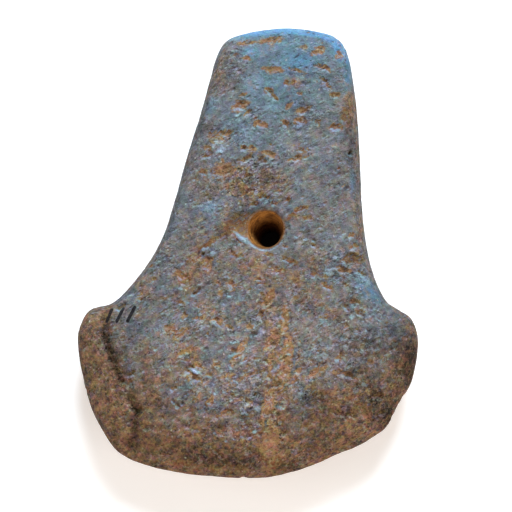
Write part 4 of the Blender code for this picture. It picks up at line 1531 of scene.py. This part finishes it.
@dataclass(frozen=True)
class StoneFinish:
    """Grey-blue rock with dark and light grains, soil in its hollows and a brown tinge, and painted light
    and shade on lips, crests, margins and the hole.
    """

    cool_rock: Colour = (0.104, 0.122, 0.134, 1.0)
    warm_rock: Colour = (0.152, 0.128, 0.108, 1.0)
    dark_rock: Colour = (0.068, 0.060, 0.063, 1.0)
    light_rock: Colour = (0.205, 0.200, 0.192, 1.0)
    earth: Colour = (0.221, 0.119, 0.051, 1.0)
    dark_earth: Colour = (0.100, 0.059, 0.030, 1.0)
    soil: Colour = (0.250, 0.150, 0.072, 1.0)
    deep_soil: Colour = (0.175, 0.080, 0.028, 1.0)
    moss: Colour = (0.105, 0.092, 0.040, 1.0)
    vein: Colour = (0.300, 0.170, 0.082, 1.0)
    grain: Colour = (0.042, 0.038, 0.050, 1.0)
    violet_grain: Colour = (0.105, 0.098, 0.112, 1.0)
    spark: Colour = (0.400, 0.380, 0.340, 1.0)
    # dark also paints shade on slopes that lean from the lamp and deep in the hole, besides the dark pores
    dark: Colour = (0.028, 0.023, 0.021, 1.0)
    # pale is also a painted highlight colour on lips and crests, besides pale grains and flakes
    pale: Colour = (0.195, 0.262, 0.318, 1.0)
    # painted highlight colour for lips and crests that face the lamp, where the stone is pecked
    lip_highlight_grey: Colour = (0.255, 0.268, 0.292, 1.0)
    # tan is a painted highlight colour for lips and crests where the stone is brown
    tan: Colour = (0.310, 0.250, 0.175, 1.0)
    # brightest pale, on new flake scars and as painted highlight on the hole's lower lip
    bright_flake_and_highlight: Colour = (0.310, 0.390, 0.465, 1.0)
    # cool and rim paint on the blue of the cool light, partly the stone's own blue; rim is the strong blue
    # of the poll's edge
    cool: Colour = (0.085, 0.157, 0.202, 1.0)
    rim: Colour = (0.088, 0.205, 0.320, 1.0)
    wall: Colour = (0.400, 0.165, 0.036, 1.0)
    # darker streaks on the wall, and the painted shade down the hole
    streak_and_shade_wall: Colour = (0.100, 0.036, 0.011, 1.0)
    ink: Colour = (0.012, 0.010, 0.012, 1.0)
    violet_cast: Colour = (1.090, 0.920, 1.095, 1.0)
    green_cast: Colour = (0.940, 1.055, 0.905, 1.0)
    stroke_width: float = 1.25
    strokes: tuple[tuple[Point, Point], ...] = (
        ((-47.6, -28.4), (-46.4, -24.4)),
        ((-43.8, -28.4), (-42.2, -24.0)),
        ((-39.9, -28.2), (-38.0, -23.4)),
    )
    drift_turn: float = 40.0
    drift_stretch: float = 1.7
    hue_size: float = 1.5
    blotch_size: float = 2.0
    veil_size: float = 4.2
    broad_size: float = 10.0
    ragged_size: float = 1.1
    cast_size: float = 2.2
    fold_size: float = 3.4
    grit_size: float = 0.55
    facet_size: float = 1.7
    pit_size: float = 1.35
    prick_size: float = 0.80
    grain_size: float = 1.45
    pore_size: float = 1.05
    spark_size: float = 1.15
    # lip_shift points towards the lamp, so the lip pattern finds the pit lips that the light falls on
    lip_shift: Triple = (0.14, 0.36, 0.0)
    spark_shift: Triple = (7.3, 2.1, 4.0)
    ink_height: float = 14.0
    gloss: float = 0.08
    bump_reach: float = 0.001

    def material(self) -> bpy.types.Material:
        """Writes the stone's material.

        Returns:
            The material, which reads Object coordinates and the marks on the mesh.
        """
        graph = Graph("weathered_stone")
        place = graph.scaled(graph.place(), 1 / MM)
        marks = Marks(*(graph.mark(mark.name) for mark in fields(Marks)))
        seen = self.patterns(graph, place, marks)
        colour = self.rock(seen)
        colour = self.earthed(seen, colour)
        colour = self.grained(seen, colour)
        colour = self.soiled(seen, colour)
        colour = self.painted_lip_light_and_shade(seen, colour)
        colour = self.speckled(seen, colour)
        colour = graph.scaled(self.cast(seen, colour), self.gain(seen))
        colour = graph.mix(self.ink_strokes(graph, place, seen.fray), colour, self.ink)
        values = {
            "Base Color": graph.mix(marks.wall, colour, self.bore_colour(graph, place)),
            "Roughness": graph.step(marks.soil + seen.dust, 0.0, 1.0) * 0.20 + 0.72,
            "Specular IOR Level": self.gloss,
            "Normal": self.relief(seen),
        }
        graph.feed(graph.shader, values)
        return graph.material

    def patterns(self, graph: Graph, place: Signal, marks: Marks[Signal]) -> Patterns:
        """Makes what colours and relief share.

        Args:
            graph: where the nodes go.
            place: where, in millimetres.
            marks: the marks on the mesh.

        Returns:
            The patterns.
        """
        pecked = marks.pecked
        drift, shaken = self.drift(graph, place), self.shaken(graph, place, 1.1, 1.1)
        hue = graph.noise(place, self.hue_size, 3.0, 0.6)
        blotch = graph.noise(drift, self.blotch_size, 4.0, 0.64)
        veil = graph.noise(place, self.veil_size, 4.0, 0.62)
        ragged = graph.noise(place, self.ragged_size, 4.0, 0.68)
        fray = ragged - 0.5
        _, (grit, grit_hue, _) = graph.cells(shaken, self.grit_size)
        _, (facet, facet_hue, facet_kind) = graph.cells(shaken, self.facet_size)

        share, radii = pecked * 0.9 + 0.15, (0.28, 0.66)
        pits, pit_tone = graph.bowls(drift, self.pit_size, share, radii)
        # lip: the lower lips of pits, on the side that faces the lamp, which get painted highlights
        above = self.drift(graph, graph.vector_maths("ADD", place, self.lip_shift))
        lip = graph.bowls(above, self.pit_size, share, radii)[0] - pits
        pricks, prick_tone = graph.bowls(drift, self.prick_size, pecked * 0.7 + 0.20, (0.30, 0.66))
        share = 0.06 + 0.39 * pecked + 0.25 * marks.brown
        pores, pore_tone = graph.bowls(shaken, self.pore_size, share, (0.30, 0.62))

        folds = graph.maths("ABSOLUTE", graph.noise(drift, self.fold_size, 2.5, 0.55) - 0.5)
        folded = graph.step(graph.noise(place, 5.5, 2.0), 0.42, 0.58) * (0.25 + 0.75 * pecked)
        crest = graph.step(folds, 0.036, 0.006) * folded
        trough = graph.step(folds, 0.08, 0.17) * folded

        spread = fray * 0.30 + (blotch - 0.5) * 0.9 + (hue - 0.5) * 0.9 + (veil - 0.5) * 0.8
        spread = spread + trough * (0.15 + 0.45 * pecked) - crest * 0.4
        # painted shade in the soil: the ochre is laid more thickly on slopes that lean away from the lamp,
        # besides the real soil in hollows
        leaning_from_light = graph.step(marks.lean, -0.08, -0.40)
        filled = graph.step(marks.soil + spread + marks.hollow * 0.8 + leaning_from_light * 0.35, 0.32, 0.92)
        dust = graph.maths("MAXIMUM", pits * graph.step(pit_tone, 0.30, 0.8), pricks * prick_tone * 0.5)
        return Patterns(
            graph=graph, marks=marks, place=place, shaken=shaken,
            hue=hue, blotch=blotch, veil=veil, ragged=ragged, fray=fray,
            grit=grit, grit_hue=grit_hue, facet=facet, facet_hue=facet_hue, facet_kind=facet_kind,
            granular=pecked * pecked, crest=crest, trough=trough, pits=pits, pricks=pricks, lip=lip,
            pores=pores, pore_tone=pore_tone, filled=filled, dust=dust,
        )

    def rock(self, seen: Patterns) -> Signal:
        """Bare rock: warm or cool in loose patches, spotted, and bluer where the mesh is marked cool, partly
        the stone's own blue and partly painted cool light, strongest on the poll's edge.

        Args:
            seen: the shared patterns.

        Returns:
            The rock's colour.
        """
        graph, marks = seen.graph, seen.marks
        broad = graph.noise(seen.place, self.broad_size, 3.0, 0.6)
        warmth = seen.hue * 0.20 + seen.veil * 0.40 + broad * 0.40 - marks.cool * 0.05 + marks.brown * 0.12
        colour = graph.mix(graph.step(warmth, 0.40, 0.60), self.cool_rock, self.warm_rock)
        colour = graph.mix(graph.step(seen.blotch, 0.50, 0.34) * 0.35, colour, self.dark_rock)
        colour = graph.mix(graph.step(seen.blotch, 0.50, 0.66) * 0.35, colour, self.light_rock)
        # painted cool light, partly the stone's own blue; rim where it is strongest, on the poll's edge
        blue_and_cool_light_share = marks.cool + seen.fray * 0.3
        colour = graph.mix(graph.step(blue_and_cool_light_share + (seen.veil - 0.5) * 1.3, 0.20, 1.15), colour, self.cool)
        return graph.mix(graph.step(blue_and_cool_light_share, 0.95, 1.45), colour, self.rim)

    def earthed(self, seen: Patterns, colour: Signal) -> Signal:
        """Brown earth, light or dark, over the stone where the mesh is marked brown.

        Args:
            seen: the shared patterns.
            colour: what lies beneath.

        Returns:
            The new colour.
        """
        graph, marks = seen.graph, seen.marks
        lighter = graph.step(seen.blotch * 0.6 + seen.hue * 0.4, 0.38, 0.60)
        tinge = marks.brown + (seen.veil - 0.5) * 1.7 + (seen.hue - 0.5) * 0.9 + seen.fray * 0.3
        earthy = graph.mix(lighter, self.dark_earth, self.earth)
        return graph.mix(graph.step(tinge, 0.05, 0.95) * 0.92, colour, earthy)

    def grained(self, seen: Patterns, colour: Signal) -> Signal:
        """Facets of violet, ochre and pale rock where the stone is pecked, and dark grains.

        Args:
            seen: the shared patterns.
            colour: what lies beneath.

        Returns:
            The new colour.
        """
        graph, marks = seen.graph, seen.marks
        facets = (
            (graph.step(seen.facet_hue, 0.36, 0.28), 0.60, self.violet_grain),
            (graph.step(seen.facet_hue, 0.82, 0.90), 0.60, self.soil),
            (graph.step(seen.facet_kind, 0.84, 0.92), 0.55, self.pale),
        )
        for chosen, strength, grain in facets:
            colour = graph.mix(chosen * seen.granular * strength, colour, grain)
        share = 0.04 + 0.23 * marks.pecked + 0.45 * marks.brown
        grains, tone = graph.bowls(seen.shaken, self.grain_size, share, (0.35, 0.80))
        return graph.mix(grains * (0.40 + 0.45 * tone), colour, self.grain)

    def soiled(self, seen: Patterns, colour: Signal) -> Signal:
        """Ochre soil, deep, mossy or strong in places, where pits are filled, and dust in small ones.

        Args:
            seen: the shared patterns.
            colour: what lies beneath.

        Returns:
            The new colour.
        """
        graph, marks = seen.graph, seen.marks
        ochre = graph.mix(
            graph.step(seen.ragged + 0.14 * marks.pecked, 0.44, 0.64), self.deep_soil, self.soil
        )
        ochre = graph.mix(graph.step(seen.hue, 0.54, 0.66) * 0.7, ochre, self.moss)
        strong = marks.soil + seen.fray * 0.4 + seen.granular * 0.2
        ochre = graph.mix(graph.step(strong, 0.88, 1.15), ochre, self.vein)
        return graph.mix(graph.maths("MAXIMUM", seen.filled * 0.92, seen.dust * 0.36), colour, ochre)

    def painted_lip_light_and_shade(self, seen: Patterns, colour: Signal) -> Signal:
        """Painted shade where the surface leans from the light, painted highlights on the lips that face it
        and on crests, and pale flakes, where the pale mark also carries painted highlights.

        Args:
            seen: the shared patterns.
            colour: what lies beneath.

        Returns:
            The new colour.
        """
        graph, marks = seen.graph, seen.marks
        # painted shade: darker on slopes that lean away from the lamp
        shaded = graph.step(marks.lean + seen.fray * 0.40, -0.16, -0.50) * 0.50
        colour = graph.mix(shaded, colour, self.dark)
        # painted highlights: paler on slopes and pit lips that face the lamp, and on crests
        facing = graph.step(marks.lean + seen.fray * 0.80 + (seen.blotch - 0.5) * 0.5, 0.06, 0.42)
        lipped = graph.step(seen.lip, 0.12, 0.6) * (0.45 + 0.10 * marks.pecked)
        bright = graph.maths("MAXIMUM", facing * 0.85, lipped)
        bright = graph.maths("MAXIMUM", bright, seen.crest * 0.75)
        lit = graph.mix(graph.step(marks.pecked + (seen.veil - 0.5) * 1.5, 0.35, 0.85), self.pale, self.lip_highlight_grey)
        lit = graph.mix(graph.step(marks.brown, 0.3, 0.9) * 0.7, lit, self.tan)
        colour = graph.mix(bright * (1.0 - 0.30 * marks.brown), colour, lit)
        # pale flakes, with painted highlights where the pale mark lies on ridges and the hole's lower lip
        flaked = graph.step(marks.pale + seen.fray * 1.8 + (seen.blotch - 0.5) * 1.4, 0.40, 1.15)
        colour = graph.mix(flaked * 0.80, colour, self.pale)
        brightest_pale = graph.step(marks.pale + seen.fray * 1.4, 1.05, 1.75)
        return graph.mix(brightest_pale * 0.85, colour, self.bright_flake_and_highlight)

    def speckled(self, seen: Patterns, colour: Signal) -> Signal:
        """Dark pores, and light specks that are ochre in more places where the stone is brown.

        Args:
            seen: the shared patterns.
            colour: what lies beneath.

        Returns:
            The new colour.
        """
        graph, marks = seen.graph, seen.marks
        colour = graph.mix(seen.pores * (0.35 + 0.55 * seen.pore_tone), colour, self.dark)
        elsewhere = graph.vector_maths("ADD", seen.shaken, self.spark_shift)
        share = 0.05 + 0.27 * marks.pecked + 0.2 * marks.brown
        sparks, tone = graph.bowls(elsewhere, self.spark_size, share, (0.24, 0.48))
        ochre = graph.step(marks.brown * 0.6 + seen.grit_hue, 0.60, 1.00)
        return graph.mix(sparks * (0.30 + 0.60 * tone), colour, graph.mix(ochre, self.spark, self.soil))

    def cast(self, seen: Patterns, colour: Signal) -> Signal:
        """A violet cast in some places and a green one in others, stronger where it is brown.

        Args:
            seen: the shared patterns.
            colour: what lies beneath.

        Returns:
            The new colour.
        """
        graph, marks = seen.graph, seen.marks
        casts = graph.step(graph.noise(seen.place, self.cast_size, 4.0, 0.80), 0.34, 0.66)
        cast = graph.mix(casts, self.violet_cast, self.green_cast)
        colour = graph.mix(1.0, colour, cast, "MULTIPLY")
        return graph.mix(marks.brown * 0.8, colour, cast, "MULTIPLY")

    def gain(self, seen: Patterns) -> Signal:
        """How many times lighter the colour gets: speckled and blotched, and lighter or darker by the
        painted light and shade of the tone mark.

        Args:
            seen: the shared patterns.

        Returns:
            The factor.
        """
        graph, marks = seen.graph, seen.marks
        specks = (seen.grit - 0.5) * (0.08 + 0.40 * marks.pecked + 0.38 * marks.brown)
        specks = specks + seen.fray * (1.1 * marks.pecked) + (seen.facet - 0.5) * seen.granular * 0.85
        local = specks * (1.0 - 0.40 * seen.filled) + (seen.blotch - 0.5) + (seen.veil - 0.5) * 0.8
        # painted light and shade from the tone mark
        painted_shading_gain = marks.tone * (0.58 + seen.fray * 0.6)
        gain = 1.16 + 0.06 * marks.brown + local + painted_shading_gain - 0.10 * seen.filled
        return graph.maths("MAXIMUM", gain, 0.14)

    def relief(self, seen: Patterns) -> Signal:
        """The normal of fine relief: blotches, ragged noise, facets and folds, less pits and pores.

        Args:
            seen: the shared patterns.

        Returns:
            The normal.
        """
        graph, pecked = seen.graph, seen.marks.pecked
        height = 1.15 * seen.blotch + (0.40 + 0.75 * pecked) * seen.ragged + 0.04 * seen.grit
        height = height - (0.50 + 0.45 * pecked) * seen.pits - 0.32 * seen.pricks - 0.20 * seen.pores
        height = height + 0.50 * seen.facet * seen.granular + 0.45 * seen.crest - 0.25 * seen.trough
        values = {"Strength": 1.0, "Distance": self.bump_reach, "Height": height}
        return Signal(graph, graph.node("ShaderNodeBump", {}, values).outputs["Normal"])

    def ink_strokes(self, graph: Graph, place: Signal, fray: Signal) -> Signal:
        """Three faded strokes of ink near the left shoulder, which spell nothing.

        A stroke is inked where the distance to its line is less than half its width.

        Args:
            graph: where the nodes go.
            place: where, in millimetres.
            fray: noise that frays their edges.

        Returns:
            How much is inked, from 0 to 1.
        """
        nearest = None
        for start, end in self.strokes:
            away = graph.segment(place, start, end)
            nearest = away if nearest is None else graph.maths("MINIMUM", nearest, away)
        upper = graph.step(graph.height_of(place), self.ink_height, self.ink_height + 1.0)
        edge, core = self.stroke_width * 0.60, self.stroke_width * 0.40
        return graph.step(nearest + fray * 0.35, edge, core) * upper * 0.95

    def bore_colour(self, graph: Graph, place: Signal) -> Signal:
        """Orange-brown soil on the hole's wall, streaked, with painted shade that darkens it down the hole
        and at its lower right.

        Args:
            graph: where the nodes go.
            place: where, in millimetres.

        Returns:
            The colour.
        """
        flat = graph.vector_maths("MULTIPLY", place, (0.35, 0.35, 1.0))
        streaks = graph.step(graph.noise(flat, 1.3, 4.0, 0.65), 0.38, 0.62)
        height = graph.height_of(place)
        aside = graph.measured("DOT_PRODUCT", place, (0.8, -0.6, 0.0)) - 1.0
        colour = graph.mix(streaks * 0.80, self.wall, self.streak_and_shade_wall)
        # painted shade: darker down the hole and towards its lower right
        colour = graph.mix(graph.step(height - aside * 0.6, 23.0, 12.0) * 0.85, colour, self.streak_and_shade_wall)
        # painted shade: near black deepest in the hole
        deepest = graph.step(height - aside * 1.8 + streaks * 2.0, 15.0, 5.0)
        return graph.mix(deepest * 0.60, colour, self.dark)

    def drift(self, graph: Graph, place: Signal) -> Signal:
        """Places turned so that the stroke of the pecking lies along x, with x drawn out.

        Args:
            graph: where the nodes go.
            place: where, in millimetres.

        Returns:
            The turned places.
        """
        turned = graph.node(
            "ShaderNodeVectorRotate",
            {"rotation_type": "Z_AXIS"},
            {"Vector": place, "Angle": -math.radians(self.drift_turn)},
        )
        shares = (1 / self.drift_stretch, 1.0, 1.0)
        drawn = graph.vector_maths("MULTIPLY", Signal(graph, turned.outputs[0]), shares)
        return self.shaken(graph, drawn, 1.6, 0.9)

    def shaken(self, graph: Graph, place: Signal, size: float, reach: float) -> Signal:
        """Places moved at random by up to half of reach, over noise of that size, for ragged marks.

        Args:
            graph: where the nodes go.
            place: where, in millimetres.
            size: the size of the noise.
            reach: twice the furthest move.

        Returns:
            The moved places.
        """
        values = {"Vector": place, "Scale": 1 / size, "Detail": 3.0}
        noise = Signal(graph, graph.node("ShaderNodeTexNoise", {}, values).outputs["Color"])
        shift = graph.vector_maths("SUBTRACT", noise, (0.5, 0.5, 0.5))
        return graph.vector_maths("ADD", place, graph.vector_maths("MULTIPLY", shift, (reach, reach, reach)))


@dataclass(frozen=True)
class Spud:
    """The whole stone: smooth form, wear and finish."""

    mesher: Mesher = Mesher()
    wear: Wear = Wear()
    finish: StoneFinish = StoneFinish()

    def build(self) -> bpy.types.Object:
        """Makes the stone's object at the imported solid's place.

        Returns:
            The object, at the origin, with its place in its mesh.
        """
        surface = self.mesher.build()
        outline = self.mesher.form.outline.curve(self.mesher.around)
        marks = self.wear.cut(surface)
        low, high = (np.array(corner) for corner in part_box(NODE))
        middle = (outline.min(axis=0) + outline.max(axis=0)) / 2
        shift = np.array([*(low + high)[:2] / 2, low[2]])
        vertices = (surface.vertices - [*middle, 0.0]) * MM + shift
        mesh = bpy.data.meshes.new("ground_stone")
        self.put(mesh, vertices, surface.triangles)
        for name, values in vars(marks).items():
            layer = mesh.attributes.new(name, "FLOAT", "POINT")
            layer.data.foreach_set("value", values.astype(np.float32))
        stone = bpy.data.objects.new("ground_stone", mesh)
        bpy.context.scene.collection.objects.link(stone)
        log.info("ground_stone: %d triangles", len(surface.triangles))
        return stone

    def put(self, mesh: bpy.types.Mesh, vertices: np.ndarray, triangles: np.ndarray) -> None:
        """Fills a mesh with whole arrays of vertices and triangles, shaded smooth.

        Args:
            mesh: the mesh, still empty.
            vertices: places in metres.
            triangles: vertex numbers.
        """
        mesh.vertices.add(len(vertices))
        mesh.vertices.foreach_set("co", vertices.astype(np.float32).ravel())
        mesh.loops.add(triangles.size)
        mesh.loops.foreach_set("vertex_index", triangles.astype(np.int32).ravel())
        mesh.polygons.add(len(triangles))
        mesh.polygons.foreach_set("loop_start", np.arange(0, triangles.size, 3, dtype=np.int32))
        mesh.update(calc_edges=True)
        mesh.validate()
        mesh.shade_smooth()

    def dress(self, stone: bpy.types.Object) -> None:
        """Gives the stone its finish and ties it to the frame.

        Args:
            stone: the stone's object.
        """
        stone.data.materials.append(self.finish.material())
        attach(stone, "root")
        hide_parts(NODE)


@dataclass(frozen=True)
class Lamp:
    """A soft square lamp: name, place in metres, side, power in watts and colour."""

    name: str
    place: Triple
    side: float
    power: float
    colour: Triple

    def light(self) -> None:
        """Makes the lamp, facing the stone."""
        data = bpy.data.lights.new(self.name, "AREA")
        data.size = self.side
        data.energy = self.power
        data.color = self.colour
        lamp = bpy.data.objects.new(self.name, data)
        lamp.location = self.place
        lamp.rotation_euler = Vector(self.place).to_track_quat("Z", "Y").to_euler()
        bpy.context.scene.collection.objects.link(lamp)


@dataclass(frozen=True)
class Studio:
    """A pale floor, soft lamps and the camera that looks down on the stone."""

    lamps: tuple[Lamp, ...] = (
        Lamp("poll_lamp", (0.12, 0.86, 0.56), 0.40, 19.6, (0.74, 0.88, 1.0)),
        Lamp("bit_lamp", (0.15, -0.70, 0.40), 0.40, 3.4, (1.0, 0.90, 0.80)),
        Lamp("left_lamp", (-0.65, -0.05, 0.30), 0.40, 1.5, (1.0, 0.97, 0.94)),
        Lamp("right_lamp", (0.60, -0.32, 0.30), 0.40, 2.2, (1.0, 0.95, 0.90)),
    )
    sky: Colour = (1.0, 0.97, 0.94, 1.0)
    sky_strength: float = 0.16
    floor_colour: Colour = (0.95, 0.93, 0.92, 1.0)
    floor_side: float = 3.0
    floor_glow: float = 0.25
    # painted shadow under the stone
    painted_shadow_colour: Colour = (0.004, 0.003, 0.003, 1.0)
    painted_shadow_middle: Triple = (0.006, 0.003, 0.0)
    painted_shadow_reach: float = 0.028
    target: Triple = (0.0018, -0.00278, 0.012)
    distance: float = 0.421
    tilt_down: float = 7.7
    tilt_right: float = 4.6
    roll: float = 3.0
    lens: float = 85.0

    def floor(self) -> None:
        """Makes the floor, which isn't part of the object. It glows faintly, and has a painted shadow under
        the stone.
        """
        half = self.floor_side / 2
        corners = [(-half, -half, 0), (half, -half, 0), (half, half, 0), (-half, half, 0)]
        mesh = bpy.data.meshes.new("floor")
        mesh.from_pydata(corners, [], [(0, 1, 2, 3)])
        graph = Graph("pale_floor")
        # painted shadow: the floor is near black under the stone, where it shows through the hole
        away = graph.measured("DISTANCE", graph.place(), self.painted_shadow_middle)
        beyond = graph.step(away, self.painted_shadow_reach * 0.7, self.painted_shadow_reach)
        colour = graph.mix(beyond, self.painted_shadow_colour, self.floor_colour)
        values = {
            "Base Color": colour,
            "Roughness": 0.9,
            "Specular IOR Level": 0.2,
            "Emission Color": colour,
            "Emission Strength": self.floor_glow,
        }
        graph.feed(graph.shader, values)
        mesh.materials.append(graph.material)
        floor = bpy.data.objects.new("floor", mesh)
        bpy.context.scene.collection.objects.link(floor)

    def light(self) -> None:
        """Sets the sky and the lamps."""
        world = bpy.data.worlds.new("soft_sky")
        world.use_nodes = True
        background = world.node_tree.nodes["Background"]
        background.inputs["Color"].default_value = self.sky
        background.inputs["Strength"].default_value = self.sky_strength
        bpy.context.scene.world = world
        for lamp in self.lamps:
            lamp.light()

    def camera(self) -> None:
        """Places the camera above the stone, tilted towards its lower right and rolled."""
        data = bpy.data.cameras.new("camera")
        data.lens = self.lens
        camera = bpy.data.objects.new("camera", data)
        right, down = (math.tan(math.radians(tilt)) for tilt in (self.tilt_right, self.tilt_down))
        back = Vector((right, -down, 1.0)).normalized()
        across = Vector((0.0, 1.0, 0.0)).cross(back).normalized()
        upright = Matrix((across, back.cross(across), back)).transposed().to_4x4()
        turn = Matrix.Rotation(math.radians(self.roll), 4, "Z")
        place = Vector(self.target) + back * self.distance
        camera.matrix_world = Matrix.Translation(place) @ upright @ turn
        bpy.context.scene.collection.objects.link(camera)
        bpy.context.scene.camera = camera
        bpy.context.scene.view_settings.view_transform = "Standard"


def main() -> None:
    """Builds the studio and the stone."""
    logging.basicConfig(level=logging.INFO)
    studio = Studio()
    studio.camera()
    studio.floor()
    studio.light()
    spud = Spud()
    stone = spud.build()
    spud.dress(stone)


if __name__ == "__main__":
    main()
